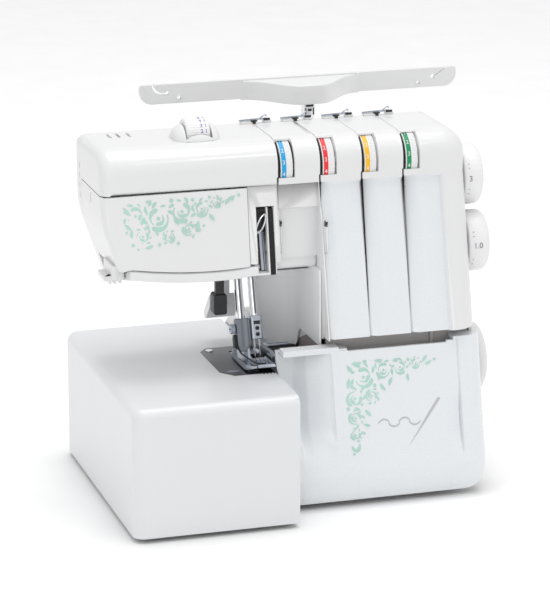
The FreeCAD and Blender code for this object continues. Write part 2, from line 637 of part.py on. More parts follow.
def bars():
    """Parts that lean with the bars are drawn upright, from the point where the bar meets the plate."""
    foot = (0, "bar_foot_y", "plate_top")
    sub_part("needle_bar", cut(rod("z", ("needle_x", 0, 26), "bar_radius", 124),
                               rod("z", ("needle_x", 0, 0), 1.2, 34)), foot, "bar_lean")
    clamp = rounded(box((-9.2, 0.2), (-5.2, 5.2), (17.5, 36.5)),
                    (1.5, along("z", x=(-9.2, 0.2), y=(-5.2, 5.2))))
    slot = box((-7, -2), (-6, -3.8), (29.5, 32))
    holes = [rod("y", (x, -6, z), 1.55, 4) for x, z in ((-4.5, 26.5), (-4.5, 21.5))]
    sockets = [rod("z", (x, 0, 16), 0.85, 10) for x in (-6.6, -2.4)]
    core = rod("z", ("needle_x", 0, 24), "bar_radius", 20)
    screws = [rod("y", (x, -4.7, z), 1.5, 1.1) for x, z in ((-4.5, 26.5), (-4.5, 21.5))]
    sub_part("needle_clamp", together(cut(clamp, core, slot, *holes, *sockets), *screws), foot, "bar_lean")
    needles = [join(rod("z", (x, 0, 9), 0.85, 16.5), rod("z", (x, 0, tip + 2.5), 0.45, 8),
                    rod("z", (x, 0, tip), 0.08, 2.5, 0.45)) for x, tip in ((-6.6, 1.5), (-2.4, 2.5))]
    sub_part("needles", together(*needles), foot, "bar_lean")
    collar = cut(box((-8.6, 1), (-6, 6), (104, 110)), rod("z", ("needle_x", 0, 100), "bar_radius", 20))
    strap = box((1, 2.6), (-3.5, 3.5), (105, 127))
    sub_part("connecting_rod", join(collar, strap), foot, "bar_lean")

    sub_part("presser_bar", rod("z", ("presser_x", 0, 18), "bar_radius", 130), foot, "bar_lean")
    ankle = join(box((-21, -9.8), (-4.6, 4.6), (14.2, 35)), box((-19.4, -14.1), (-3, 3), (8.5, 15)))
    ankle = cut(ankle, rod("z", ("presser_x", 0, 17), "bar_radius", 30), rod("x", (-30, 0, 27), 1.55, 10.5),
                rod("x", (-30, 0, 10.5), 1.25, 40))
    sub_part("foot_ankle", ankle, foot, "bar_lean")
    sub_part("foot_screw", join(rod("x", (-25.5, 0, 27), 4, 4.2), rod("x", (-22, 0, 27), 1.5, 2.4)),
             foot, "bar_lean")
    spring = cut(rod("z", ("presser_x", 0, 106), "bar_radius+1.6", 14),
                 rod("z", ("presser_x", 0, 105), "bar_radius+0.3", 16))
    sub_part("presser_spring", spring, foot, "bar_lean")

    pin_y, pin_z = "bar_foot_y + 3.02", "plate_top + 10.06"
    sole = prism("z", "plate_top+1.3", "plate_top+4.6", [
        (-22.5, 72, 3), (-17, 64, 4), (0.6, 70, 3), (0.6, 112, 4), (-5, 118, 3), (-22.5, 118, 3)])
    toe = box((-30, 10), (55, 72), ("plate_top+1", "plate_top+2"))
    cheeks = [box((x, x + 2.5), (97, 107), ("plate_top+4", "plate_top+11.6")) for x in (-22.4, -13.7)]
    slot = box((-9.5, -1), (92, 111), (100, 120))
    shoe = cut(join(sole, *cheeks), slot, toe)
    pin = rod("x", (-22.3, pin_y, pin_z), 1.2, 11.2)
    sub_part("presser_foot", join(shoe, pin))

    lever = join(box((-24, -14), (147.5, 151), (146, 176)),
                 prism("x", -30, -6, [(150, 150), (150, 140), (162, 126, 6), (168, 126, 3), (168, 131, 5),
                                      (155, 146, 6)]),
                 rod("x", (-27, "lifter_pivot_y", "lifter_pivot_z"), 3.5, 16))
    bore = rod("x", (-40, "lifter_pivot_y", "lifter_pivot_z"), "1.5+running", 40)
    sub_part("lifter_lever", cut(lever, bore))
    threader = join(box((-36, -31), (112, 117), (150, 190)),
                    rounded(box((-37.5, -26.5), (110, 122), (144, 161)),
                            (2, along("z", x=(-37.5, -26.5), y=(110, 122)))))
    sub_part("needle_threader", threader)

    for label, span in (("main_feed_dog", (105, 128.5)), ("differential_feed_dog", (75.5, 94.5))):
        teeth = [box((x, x + 3), span, (96, "plate_top-0.2")) for x in (-19.5, -13.5)]
        sub_part(label, join(*teeth, box((-22, -10.5), span, (91, 96.5))))


def loopers_and_knife():
    arm = join(rod("x", (10, "upper_pivot_y", "upper_pivot_z"), 5, 10),
               prism("x", 11, 15, [(75, 50), (83, 50), (92, 98, 3), (88, 99)]))
    hook = prism("x", 11, 15, [(88, 95), (92, 94), (101, 101, 2), (100, 102.5)])
    bore = rod("x", (0, "upper_pivot_y", "upper_pivot_z"), "post_radius+running", 40)
    sub_part("upper_looper", cut(join(arm, hook), bore))
    arm = prism("y", 99, 102, [(14, 40), (20, 40), (16, 88, 4), (-14, 95.5), (-14, 94), (9, 86, 4)])
    hub = rod("y", ("lower_pivot_x", 97, "lower_pivot_z"), 5, 8)
    bore = rod("y", ("lower_pivot_x", 90, "lower_pivot_z"), "post_radius+running", 40)
    sub_part("lower_looper", cut(join(arm, hub), bore))
    blade = box((2.2, 3.8), (86, 98), (101, 113))
    arm = prism("x", 3.8, 7, [(88, 103), (88, 113), (96, 115, 4), (137, 112), (137, 104), (98, 103, 4)])
    hub = rod("x", (3.8, "knife_pivot_y", "knife_pivot_z"), 6, 8)
    bore = rod("x", (0, "knife_pivot_y", "knife_pivot_z"), "post_radius+running", 40)
    sub_part("upper_knife", cut(join(blade, arm, hub), bore))
    pivots = [rod("x", (9, "upper_pivot_y", "upper_pivot_z"), "post_radius", 38),
              rod("y", ("lower_pivot_x", 94, "lower_pivot_z"), "post_radius", 32),
              rod("x", (2.5, "knife_pivot_y", "knife_pivot_z"), "post_radius", 47.5),
              rod("x", (-33, "lifter_pivot_y", "lifter_pivot_z"), 1.5, 24),
              rod("x", ("pressure_x-15", "pressure_y", "pressure_z"), "post_radius", 30)]
    sub_part("pivot_pins", together(*pivots))


# ---------------------------------------------------------------- dials and thread path

def dials():
    profile = [("post_radius+running", 0), ("dial_radius-0.5", 0, 0.3), ("dial_radius", 0.6),
               ("dial_radius", 1.8), ("dial_radius-0.5", 2.2), ("dial_radius-0.5", 9.8),
               ("dial_radius-1", 10.3), ("post_radius+running", 10.3)]
    posts = []
    for number in range(4):
        slot = f"slot_first + {number}*slot_pitch"
        sub_part(f"tension_dial_{number + 1}", turned("x", (f"{slot}+2.6", "dial_y", "dial_z"), profile))
        discs = [rod("x", (f"{slot}{shift}", "dial_y", "dial_z"), 13, 0.8) for shift in ("-1.3", "+0.5")]
        posts.append(join(rod("x", (f"{slot}-5", "dial_y", "dial_z"), "post_radius", 22), *discs))
    sub_part("tension_posts", together(*posts))

    for label, place, reach in (("stitch_length_dial", ("length_dial_y", "length_dial_z"), 17),
                                ("differential_dial", ("ratio_dial_y", "ratio_dial_z"), 18.5)):
        sub_part(label, turned("x", ("casing_right-7", *place), [
            (0, 0), (4, 0), (4, 8), ("side_dial_radius", 8, 1), ("side_dial_radius-1", 7 + reach, 2.5),
            ("side_dial_radius-8", 7 + reach + 0.6, 6), (0, 7 + reach - 0.6)]))

    housing = turned("x", ("pressure_x-19", "pressure_y", "casing_top-6"), [
        (0, 0), (14, 0, 6), (20.5, 12, 10), (20.5, 26, 10), (14, 38, 6), (0, 38)])
    housing = cut(housing, box(("pressure_x-30", "pressure_x+30"), (80, 150), (250, "casing_top+0.1")),
                  rod("x", ("pressure_x-10.5", "pressure_y", "pressure_z"), "pressure_radius+1", 21),
                  rod("x", ("pressure_x-18", "pressure_y", "pressure_z"), 2, 36))
    sub_part("dial_housing", housing)
    sub_part("pressure_dial", turned("x", ("pressure_x-9.5", "pressure_y", "pressure_z"), [
        ("2+running", 0), ("pressure_radius", 0, 1), ("pressure_radius", 19, 1), ("2+running", 19)]))


def thread_path():
    guides = []
    for number in range(4):
        x = f"slot_first - 8 + {number}*slot_pitch"
        guides.append(join(box((f"{x}", f"{x}+18"), (143, 151), ("casing_top", "casing_top+1.2")),
                           box((f"{x}-6", f"{x}+22"), (149.5, 151), ("casing_top+1", "casing_top+4")),
                           rod("z", (f"{x}+4", 146, "casing_top"), 1.6, 3)))
    shield = prism("x", -4, 0.6, [("head_front+0.5", 186.4), (76.2, 238), (80, 238), (70.5, 186.4)])
    sub_part("thread_shield", shield)
    bar = prism("x", -9.5, -5.5, [(72, 188.6), (81, 222), (83, 222), (74, 188.6)])
    loop = cut(box((-13, -9), (73, 81), (216, 236)), box((-14, -8), (75, 79), (218, 234)))
    guides += [bar, loop]
    for x, front, back in (("slot_first+1.2", 76, 80.3), ("column_left+2", 64, 70.8)):
        guides.append(join(box((x, f"{x}+2.2"), (front, back), (222, 226)),
                           rod("z", (f"{x}+1.1", front, 201), 0.7, 24)))
    sub_part("thread_guides", together(*guides))
    sub_part("lamp", join(rod("x", (-70, 125, 200), 6, 24), rod("x", (-74, 125, 200), 4.5, 5)))


def thread_stand():
    pins_x = [f"pin_first + {number}*pin_pitch" for number in range(4)]
    plate = prism("z", "stand_bottom", "stand_top", [
        (-50, 233, 10), (218, 233, 10), (218, 288, 26), (-50, 288, 26)])
    tab = box((30, 130), ("base_back+0.2", 236), ("stand_bottom", 40))
    socket = rod("z", ("mast_x", "mast_y+5", "stand_bottom"), 10, 26)
    pads = [rod("z", (x, "pin_y", "stand_top-1"), 22, 5) for x in pins_x]
    body = join(plate, tab, socket, *pads)
    holes = [rod("z", (x, "pin_y", "stand_bottom-1"), 3, 40) for x in pins_x]
    mast = rod("z", ("mast_x", "mast_y+5", "stand_bottom+4"), "mast_radius", 60)
    under = box((-40, 208), (240, 280), ("stand_bottom-1", "stand_top-3"))
    ribs = [box((x, x + 3), (238, 282), ("stand_bottom", "stand_top-2"))
            for x in (-6, 12, 66, 84, 138, 156)]
    sub_part("spool_stand", cut(join(cut(body, under), *ribs), mast, *holes))
    sub_part("spool_pins", together(*[
        join(rod("z", (x, "pin_y", "stand_bottom+1"), 3, "pin_top-stand_bottom-4"),
             rod("z", (x, "pin_y", "pin_top-3"), 3, 3, 1.5)) for x in pins_x]))
    tube = cut(rod("z", ("mast_x", "mast_y+5", "stand_bottom+4"), "mast_radius", 262),
               rod("z", ("mast_x", "mast_y+5", "stand_bottom+8"), "4+running", 270))
    sub_part("mast_tube", tube)
    sub_part("mast_rod", rod("z", ("mast_x", "mast_y+5", 40), 4, "bar_bottom-42"))

    middle = 82
    bar = box(("bar_left", "bar_right"), ("bar_y", "bar_y+3.5"), ("bar_bottom", "bar_bottom+bar_height"))
    bar = rounded(bar, (6, along("y", x=("bar_left", "bar_right"),
                                 z=("bar_bottom", "bar_bottom+bar_height"))))
    hub = prism("z", "bar_bottom-1", "bar_bottom+bar_height-2", [
        (middle - 50, 265), (middle - 50, 268), (middle + 50, 268), (middle + 50, 265),
        (middle + 20, 236, 14), (middle + 14, 232, 8), (middle - 14, 232, 8), (middle - 20, 236, 14)])
    inner = prism("z", "bar_bottom-2", "bar_bottom+bar_height-4", [
        (middle - 42, 265.5), (middle + 42, 265.5), (middle + 17, 239, 12), (middle + 12, 235, 6),
        (middle - 12, 235, 6), (middle - 17, 239, 12)])
    boss = rod("z", ("mast_x", "mast_y+5", "bar_bottom-5"), 7, 18)
    seat = rod("z", ("mast_x", "mast_y+5", "bar_bottom-6"), 4, 4)
    holes = [rod("y", (x, 250, "bar_bottom+4.5"), 1.8, 30) for x in (-23, 55, 109, 187)]
    sub_part("thread_guide_bar", cut(join(bar, cut(hub, inner), boss), seat, *holes))


def small_parts():
    shell = box(("casing_right-8", "casing_right"), (176.5, 201.5), (22.5, 47.5))
    sub_part("power_inlet", cut(shell, box(("casing_right-6", "casing_right+1"), (180, 198), (28, 42))))
    rocker = prism("y", 207, 221, [
        ("casing_right-5", 25), ("casing_right-0.5", 25), ("casing_right+1.6", 35),
        ("casing_right-0.5", 45), ("casing_right-5", 45)])
    sub_part("power_switch", cut(rocker, rod("y", ("casing_right-3", 200, 35), 1.2, 40)))
    screws = [join(rod("y", place, 3.2, 1.8), rod("y", (place[0], f"{place[1]}-5", place[2]), 1.5, 6))
              for place in COVER_SCREWS]
    plate_screw = join(rod("z", (-35, 135, "plate_top-9"), 1.4, 9),
                       rod("z", (-35, 135, "plate_top-0.6"), 3, 1.6))
    sub_part("screws", together(plate_screw, *screws))


def write_parts():
    """Stop if anything failed, then write one file for each sub-part."""
    document.recompute()
    failed = [item.Name + " " + item.Label for item in document.Objects
              if "Invalid" in item.State or "Error" in item.State]
    for piece in sub_parts:
        if piece.Shape.isNull() or not piece.Shape.isValid() or not piece.Shape.Solids:
            failed.append(piece.Label)
    if failed:
        raise SystemExit("failed: " + ", ".join(failed))
    os.makedirs("parts", exist_ok=True)
    for piece in sub_parts:
        piece.Shape.exportStep(os.path.join("parts", piece.Label + ".step"))
    print(len(sub_parts), "parts written")


base()
chassis()
free_arm()
needle_plate()
front_cover()
face_cover()
head_base()
rear_cover()
lower_covers()
looper_cover()
extension_table()
drive()
bars()
loopers_and_knife()
dials()
thread_path()
thread_stand()
small_parts()
write_parts()
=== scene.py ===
import json
import math
import bmesh
import bpy
from mathutils import Matrix, Vector


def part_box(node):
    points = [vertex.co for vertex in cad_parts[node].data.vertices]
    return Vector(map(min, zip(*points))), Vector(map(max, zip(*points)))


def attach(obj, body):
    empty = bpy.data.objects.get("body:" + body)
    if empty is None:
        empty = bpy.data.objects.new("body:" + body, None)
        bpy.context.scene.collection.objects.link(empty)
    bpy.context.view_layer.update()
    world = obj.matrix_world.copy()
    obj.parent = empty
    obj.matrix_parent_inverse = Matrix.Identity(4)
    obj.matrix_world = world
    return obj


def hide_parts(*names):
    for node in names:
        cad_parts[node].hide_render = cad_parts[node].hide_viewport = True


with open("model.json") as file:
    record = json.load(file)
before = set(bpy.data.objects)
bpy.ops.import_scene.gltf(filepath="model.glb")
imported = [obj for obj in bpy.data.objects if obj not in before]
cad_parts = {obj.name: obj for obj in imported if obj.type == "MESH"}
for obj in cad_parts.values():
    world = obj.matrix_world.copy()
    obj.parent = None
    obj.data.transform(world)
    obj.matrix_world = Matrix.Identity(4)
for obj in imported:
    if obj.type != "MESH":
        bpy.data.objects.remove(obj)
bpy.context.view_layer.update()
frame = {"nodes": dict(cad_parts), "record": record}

# Sizes below are in millimetres in workshop coordinates: x from the extension table's right edge,
# y back from its front face, z up from the ground. mesh_piece() turns them into the frame's metres.
MM = 0.001
FLAT = math.radians(0.4)  # faces closer to one plane than this are joined
table_low, table_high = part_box("extension_table")
CORNER = Vector((table_high.x, table_low.y, 0))


def limits(node):
    """A CAD node's lowest and highest corners in workshop millimetres."""
    low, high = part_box(node)
    return (low - CORNER) / MM, (high - CORNER) / MM


# ---------------------------------------------------------------- materials

def node_tree(name):
    material = bpy.data.materials.new(name)
    material.use_nodes = True
    nodes, links = material.node_tree.nodes, material.node_tree.links
    return material, nodes, links, nodes["Principled BSDF"]


def mottled(name, colour, roughness, metallic=0.0, grain=400, relief=0.02, spread=0.012, coat=0.0,
            stretch=(1, 1, 1), rough_spread=0.06):
    """Moulded, painted or machined surface: faint colour drift, uneven gloss and fine relief."""
    material, nodes, links, shader = node_tree(name)
    where = nodes.new("ShaderNodeTexCoord")
    scale = nodes.new("ShaderNodeMapping")
    scale.inputs["Scale"].default_value = stretch
    links.new(where.outputs["Object"], scale.inputs["Vector"])

    drift = nodes.new("ShaderNodeTexNoise")
    drift.inputs["Scale"].default_value = 18
    drift.inputs["Detail"].default_value = 3
    links.new(scale.outputs["Vector"], drift.inputs["Vector"])
    ramp = nodes.new("ShaderNodeValToRGB")
    ramp.color_ramp.elements[0].color = [max(0, c * (1 - spread) - spread * 0.2) for c in colour] + [1]
    ramp.color_ramp.elements[1].color = [min(1, c * (1 + spread * 0.5)) for c in colour] + [1]
    ramp.color_ramp.elements[0].position = 0.35
    ramp.color_ramp.elements[1].position = 0.65
    links.new(drift.outputs["Fac"], ramp.inputs["Fac"])
    links.new(ramp.outputs["Color"], shader.inputs["Base Color"])

    fine = nodes.new("ShaderNodeTexNoise")
    fine.inputs["Scale"].default_value = grain
    fine.inputs["Detail"].default_value = 4
    links.new(scale.outputs["Vector"], fine.inputs["Vector"])
    gloss = nodes.new("ShaderNodeMapRange")
    gloss.inputs["To Min"].default_value = max(0.02, roughness - rough_spread)
    gloss.inputs["To Max"].default_value = roughness + rough_spread
    links.new(fine.outputs["Fac"], gloss.inputs["Value"])
    links.new(gloss.outputs["Result"], shader.inputs["Roughness"])
    bump = nodes.new("ShaderNodeBump")
    bump.inputs["Strength"].default_value = relief
    bump.inputs["Distance"].default_value = 0.0004
    links.new(fine.outputs["Fac"], bump.inputs["Height"])
    links.new(bump.outputs["Normal"], shader.inputs["Normal"])

    shader.inputs["Metallic"].default_value = metallic
    shader.inputs["Coat Weight"].default_value = coat
    shader.inputs["Coat Roughness"].default_value = 0.12
    return material


SMOOTH = {"grain": 1600, "relief": 0.012, "spread": 0.004}
PRINT = {"grain": 900, "relief": 0.03}
FINE_PRINT = {"grain": 900, "relief": 0.02}

WHITE = mottled("white_moulding", (0.765, 0.766, 0.77), 0.3, coat=0.25, **SMOOTH)
PANEL = mottled("panel_white", (0.765, 0.79, 0.81), 0.28, coat=0.25, **SMOOTH)
TABLE_WHITE = mottled("table_white", (0.73, 0.745, 0.76), 0.34, coat=0.2, grain=1600, relief=0.015,
                      spread=0.004)
# The throat wall's white is painted lighter than the casing white: painted light standing in for fill light
# that barely reaches the throat.
THROAT_PAINTED_LIGHT = mottled("throat_white_painted_light", (0.93, 0.93, 0.935), 0.35, **SMOOTH)
DIAL_WHITE = mottled("dial_white", (0.82, 0.82, 0.825), 0.35, grain=1200, relief=0.05)
BLACK = mottled("black_plastic", (0.012, 0.012, 0.014), 0.42, grain=1500, relief=0.15, spread=0.2)
RUBBER = mottled("rubber", (0.02, 0.02, 0.021), 0.75, grain=1500, relief=0.4, spread=0.2)
CHROME = mottled("chrome", (0.78, 0.79, 0.81), 0.09, metallic=1, grain=300, relief=0.01, rough_spread=0.03)
STEEL = mottled("satin_steel", (0.50, 0.54, 0.60), 0.3, metallic=1, grain=500, relief=0.06,
                stretch=(1, 1, 0.15), spread=0.05)
# Dark mauve colour for the sheet under the throat wall's arch: painted shade for the shadowed opening over
# the loopers.
ARCH_PAINTED_SHADE = mottled("arch_painted_shade_brown", (0.30, 0.255, 0.265), 0.5, **PRINT)
SATIN_GREY = mottled("satin_grey_steel", (0.25, 0.275, 0.31), 0.5, metallic=0.7, grain=600, relief=0.06)
DARK_STEEL = mottled("dark_steel", (0.22, 0.225, 0.24), 0.38, metallic=1, grain=350, relief=0.1,
                     stretch=(0.06, 1, 1), spread=0.08)
CAST = mottled("cast_frame", (0.42, 0.43, 0.45), 0.5, metallic=1, grain=250, relief=0.4, spread=0.1)
GREY = mottled("grey_plastic", (0.62, 0.63, 0.65), 0.4, grain=900, relief=0.08)
BLACKENED = mottled("blackened_steel", (0.05, 0.05, 0.055), 0.35, metallic=0.8, grain=700, relief=0.1)
BANDS = [mottled(name + "_band", colour, 0.35, **PRINT) for name, colour in (
    ("blue", (0.015, 0.36, 0.70)), ("red", (0.80, 0.03, 0.04)), ("yellow", (0.90, 0.50, 0.01)),
    ("green", (0.0, 0.27, 0.10)))]
MINT = mottled("mint_print", (0.44, 0.66, 0.58), 0.35, spread=0.05, **PRINT)
INK = mottled("grey_ink", (0.20, 0.20, 0.22), 0.4, **FINE_PRINT)
LAMP = mottled("lamp_cover", (0.80, 0.79, 0.74), 0.2, grain=600, relief=0.05, coat=0.5)
PURPLE = mottled("violet_print", (0.16, 0.10, 0.42), 0.4, **FINE_PRINT)
SOFT_GREY = mottled("soft_grey_print", (0.50, 0.50, 0.53), 0.4, **FINE_PRINT)
APRON = mottled("apron_grey", (0.56, 0.54, 0.53), 0.45, **PRINT)
NEEDLE = mottled("needle_steel", (0.48, 0.49, 0.50), 0.25, metallic=1, grain=500, relief=0.05)

SLOT_MATERIALS = {
    "white_casing": WHITE, "blue_dial": DIAL_WHITE, "red_dial": DIAL_WHITE, "yellow_dial": DIAL_WHITE,
    "green_dial": DIAL_WHITE, "black_plastic": BLACK, "rubber": RUBBER, "cast_frame": CAST,
    "steel_plate": DARK_STEEL, "steel": STEEL, "chrome": CHROME, "black_screw": BLACKENED,
    "grey_pins": GREY, "lamp_glass": LAMP,
}
slot_of = {item["node"]: item["material_slot"] for item in frame["record"]["subparts"]}
body_of = {node: body for body, nodes in frame["record"]["behaviour"]["bodies"].items() for node in nodes}


# ---------------------------------------------------------------- mesh tools

def mesh_piece(name, shape, material, body, slot, sharp=32, replaces=(), level=True):
    """Turn a bmesh in workshop millimetres into a piece that rides on a body."""
    bmesh.ops.recalc_face_normals(shape, faces=shape.faces)
    mesh = bpy.data.meshes.new(name)
    shape.to_mesh(mesh)
    shape.free()
    mesh.transform(Matrix.Translation(CORNER) @ Matrix.Scale(MM, 4))
    materials = material if isinstance(material, (list, tuple)) else [material]
    for item in materials:
        mesh.materials.append(item)
    mesh.shade_smooth()
    mesh.set_sharp_from_angle(angle=math.radians(sharp))
    piece = bpy.data.objects.new(name, mesh)
    bpy.context.scene.collection.objects.link(piece)
    if level:
        weighted = piece.modifiers.new("level", "WEIGHTED_NORMAL")
        weighted.keep_sharp = True
        weighted.weight = 100
    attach(piece, body)
    if replaces:
        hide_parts(*replaces)
    return piece


def hero(node, shape, material=None, name=None, **options):
    """A better piece for one CAD node, on the same body and, unless a material is given, with its slot's
    material.
    """
    return mesh_piece(name or node + "_fine", shape, material or SLOT_MATERIALS[slot_of[node]], body_of[node],
                      slot_of[node], replaces=(node,), **options)


def trim(name, node, shape, material, **options):
    """An extra piece that belongs with a CAD node and moves with it."""
    return mesh_piece(name, shape, material, body_of[node], slot_of[node], **options)


def shape_of(node):
    """A CAD node's surface as a clean bmesh in workshop millimetres."""
    shape = bmesh.new()
    shape.from_mesh(frame["nodes"][node].data)
    bmesh.ops.transform(shape, matrix=Matrix.Scale(1 / MM, 4) @ Matrix.Translation(-CORNER),
                        verts=shape.verts)
    bmesh.ops.remove_doubles(shape, verts=shape.verts, dist=0.002)
    bmesh.ops.dissolve_limit(shape, angle_limit=FLAT, verts=shape.verts, edges=shape.edges)
    return shape


def soften(shape, width, angle=30, segments=2, chosen=None, clamp=True):
    """Round every edge that is sharper than an angle."""
    bmesh.ops.recalc_face_normals(shape, faces=shape.faces)
    edges = [edge for edge in shape.edges
             if len(edge.link_faces) == 2 and edge.calc_face_angle() > math.radians(angle)
             and (chosen is None or chosen(edge))]
    if edges:
        bmesh.ops.bevel(shape, geom=edges, offset=width, offset_type="OFFSET", segments=segments,
                        profile=0.5, affect="EDGES", clamp_overlap=clamp)
    return shape


def refine(node, width, material):
    """The CAD node with softened edges and its finish."""
    return hero(node, soften(shape_of(node), width, 30, 2), material)


TURNS = {"x": lambda a, b, c: (c, a, b), "y": lambda a, b, c: (a, c, b), "z": lambda a, b, c: (a, b, c)}


def path(points, step=1.2):
    """A closed outline from (a, b) or (a, b, corner radius) points, with its round corners divided."""
    result = []
    for number, point in enumerate(points):
        corner = Vector(point[:2])
        radius = point[2] if len(point) > 2 else 0
        if not radius:
            result.append(corner)
            continue
        to_last = (Vector(points[number - 1][:2]) - corner).normalized()
        to_next = (Vector(points[(number + 1) % len(points)][:2]) - corner).normalized()
        half = to_last.angle(to_next) / 2
        centre = corner + (to_last + to_next).normalized() * (radius / math.sin(half))
        first = corner + to_last * (radius / math.tan(half)) - centre
        last = corner + to_next * (radius / math.tan(half)) - centre
        sweep = math.atan2(first.x * last.y - first.y * last.x, first.dot(last))
        count = max(3, math.ceil(abs(sweep) * radius / step))
        for part in range(count + 1):
            angle = sweep * part / count
            result.append(centre + Vector((first.x * math.cos(angle) - first.y * math.sin(angle),
                                           first.x * math.sin(angle) + first.y * math.cos(angle))))
    return result


def bar(shape, axis, low, high, outline):
    """Extrude a closed outline between two levels along an axis."""
    turn = TURNS[axis]
    ends = [[shape.verts.new(turn(a, b, level)) for a, b in outline] for level in (low, high)]
    shape.faces.new(ends[0])
    shape.faces.new(ends[1][::-1])
    for number in range(len(outline)):
        shape.faces.new((ends[0][number], ends[1][number], ends[1][number - 1], ends[0][number - 1]))
    return shape


def block(shape, x, y, z, radius=0.0, axis="z"):
    """A box between limits, with its edges along one axis rounded."""
    spans = {"x": (y, z, x), "y": (x, z, y), "z": (x, y, z)}[axis]
    (a0, a1), (b0, b1), (low, high) = spans
    corners = [(a0, b0, radius), (a1, b0, radius), (a1, b1, radius), (a0, b1, radius)]
    return bar(shape, axis, low, high, path(corners, 0.6))


def lathe(shape, axis, centre, profile, segments=96, paint=None, wave=None):
    """Turn (radius, distance) points about an axis; the profile is a closed loop unless it ends on the axis.

    paint gives each step of the profile a material, and wave changes a radius with the angle.
    """
    turn = TURNS[axis]
    centre = Vector(centre)
    rings = []
    for index, (radius, reach) in enumerate(profile):
        if radius < 1e-6:
            rings.append([shape.verts.new(centre + Vector(turn(0, 0, reach)))] * segments)
            continue
        ring = []
        for part in range(segments):
            angle = math.tau * part / segments
            size = radius + (wave(index, angle) if wave else 0)
            ring.append(shape.verts.new(centre + Vector(turn(size * math.cos(angle), size * math.sin(angle),
                                                             reach))))
        rings.append(ring)
    closed = profile[0][0] > 1e-6
    for index in range(len(profile) if closed else len(profile) - 1):
        first, second = rings[index], rings[(index + 1) % len(rings)]
        for part in range(segments):
            after = (part + 1) % segments
            corners = [first[part], first[after], second[after], second[part]]
            corners = [v for number, v in enumerate(corners) if v not in corners[:number]]
            if len(corners) > 2:
                face = shape.faces.new(corners)
                face.material_index = paint[index] if paint else 0
    return shape


def rod(radius, low, high):
    """The profile of a plain cylinder, for lathe."""
    return [(0, low), (radius, low), (radius, high), (0, high)]


def smooth_line(points, per=6):
    """Points along a Catmull-Rom curve through the given ones."""
    points = [Vector(p) for p in points]
    padded = [2 * points[0] - points[1], *points, 2 * points[-1] - points[-2]]
    result = []
    for number in range(1, len(padded) - 2):
        p0, p1, p2, p3 = padded[number - 1:number + 3]
        for part in range(per):
            t = part / per
            result.append(0.5 * (2 * p1 + (p2 - p0) * t + (2 * p0 - 5 * p1 + 4 * p2 - p3) * t * t
                                 + (3 * p1 - p0 - 3 * p2 + p3) * t ** 3))
    return [*result, points[-1]]


def tube(shape, points, radius, sides=12, flat=1.0):
    """A closed wire along points; radius may be a function of the way along, from 0 to 1."""
    points = [Vector(p) for p in points]
    size = radius if callable(radius) else lambda way: radius
    side = Vector((0, 0, 1))
    rings = []
    for number, point in enumerate(points):
        heading = (points[min(number + 1, len(points) - 1)] - points[max(number - 1, 0)]).normalized()
        if abs(heading.dot(side)) > 0.95 and number == 0:
            side = Vector((1, 0, 0))
        side = (side - heading * side.dot(heading)).normalized()
        other = heading.cross(side)
        reach = size(number / (len(points) - 1))
        rings.append([shape.verts.new(point + side * math.cos(math.tau * part / sides) * reach * flat
                                      + other * math.sin(math.tau * part / sides) * reach)
                      for part in range(sides)])
    for first, second in zip(rings, rings[1:]):
        for part in range(sides):
            after = (part + 1) % sides
            shape.faces.new((first[part], first[after], second[after], second[part]))
    shape.faces.new(rings[0])
    shape.faces.new(rings[-1][::-1])
    return shape


def skin(shape, front, back):
    """A closed solid between two equal grids of points, each a list of rows."""
    rows, columns = len(front), len(front[0])
    sheets = [[[shape.verts.new(point) for point in row] for row in grid] for grid in (front, back)]
    for sheet in sheets:
        for r in range(rows - 1):
            for c in range(columns - 1):
                shape.faces.new((sheet[r][c], sheet[r][c + 1], sheet[r + 1][c + 1], sheet[r + 1][c]))
    border = [(0, c) for c in range(columns)] + [(r, columns - 1) for r in range(1, rows)]
    border += [(rows - 1, c) for c in range(columns - 2, -1, -1)] + [(r, 0) for r in range(rows - 2, 0, -1)]
    near, far = sheets
    for (r, c), (s, d) in zip(border, border[1:] + border[:1]):
        shape.faces.new((near[r][c], near[s][d], far[s][d], far[r][c]))
    return shape


def carve(shape, *cutters):
    """Cut closed bmeshes out of a closed bmesh."""
    objects = []
    for item in (shape, *cutters):
        bmesh.ops.recalc_face_normals(item, faces=item.faces)
        mesh = bpy.data.meshes.new("carving")
        item.to_mesh(mesh)
        item.free()
        objects.append(bpy.data.objects.new("carving", mesh))
        bpy.context.scene.collection.objects.link(objects[-1])
    for cutter in objects[1:]:
        modifier = objects[0].modifiers.new("cut", "BOOLEAN")
        modifier.object = cutter
        modifier.solver = "EXACT"
    graph = bpy.context.evaluated_depsgraph_get()
    result = bmesh.new()
    result.from_object(objects[0], graph)
    for item in objects:
        mesh = item.data
        bpy.data.objects.remove(item)
        bpy.data.meshes.remove(mesh)
    bmesh.ops.dissolve_limit(result, angle_limit=FLAT, verts=result.verts, edges=result.edges)
    return result


def sliced(shape, axis, places, above=-1):
    """Divide what lies above a level at places along an axis, so that it can bend or shade evenly."""
    normal = {"x": (1, 0, 0), "y": (0, 1, 0), "z": (0, 0, 1)}[axis]
    for level in places:
        point = [level * part for part in normal]
        faces = [face for face in shape.faces if min(v.co.z for v in face.verts) > above]
        # A dict keeps its order, where a set does not.
        edges = dict.fromkeys(edge for face in faces for edge in face.edges)
        verts = dict.fromkeys(vert for face in faces for vert in face.verts)
        bmesh.ops.bisect_plane(shape, geom=[*verts, *edges, *faces], plane_co=point, plane_no=normal,
                               dist=1e-4)
    return shape


def ramp(value, low, high):
    """0 at low, 1 at high, smooth between."""
    t = min(1, max(0, (value - low) / (high - low)))
    return t * t * (3 - 2 * t)


def steps(low, high, size):
    count = max(1, round(abs(high - low) / size))
    return [low + (high - low) * number / count for number in range(count + 1)]


# ---------------------------------------------------------------- casing

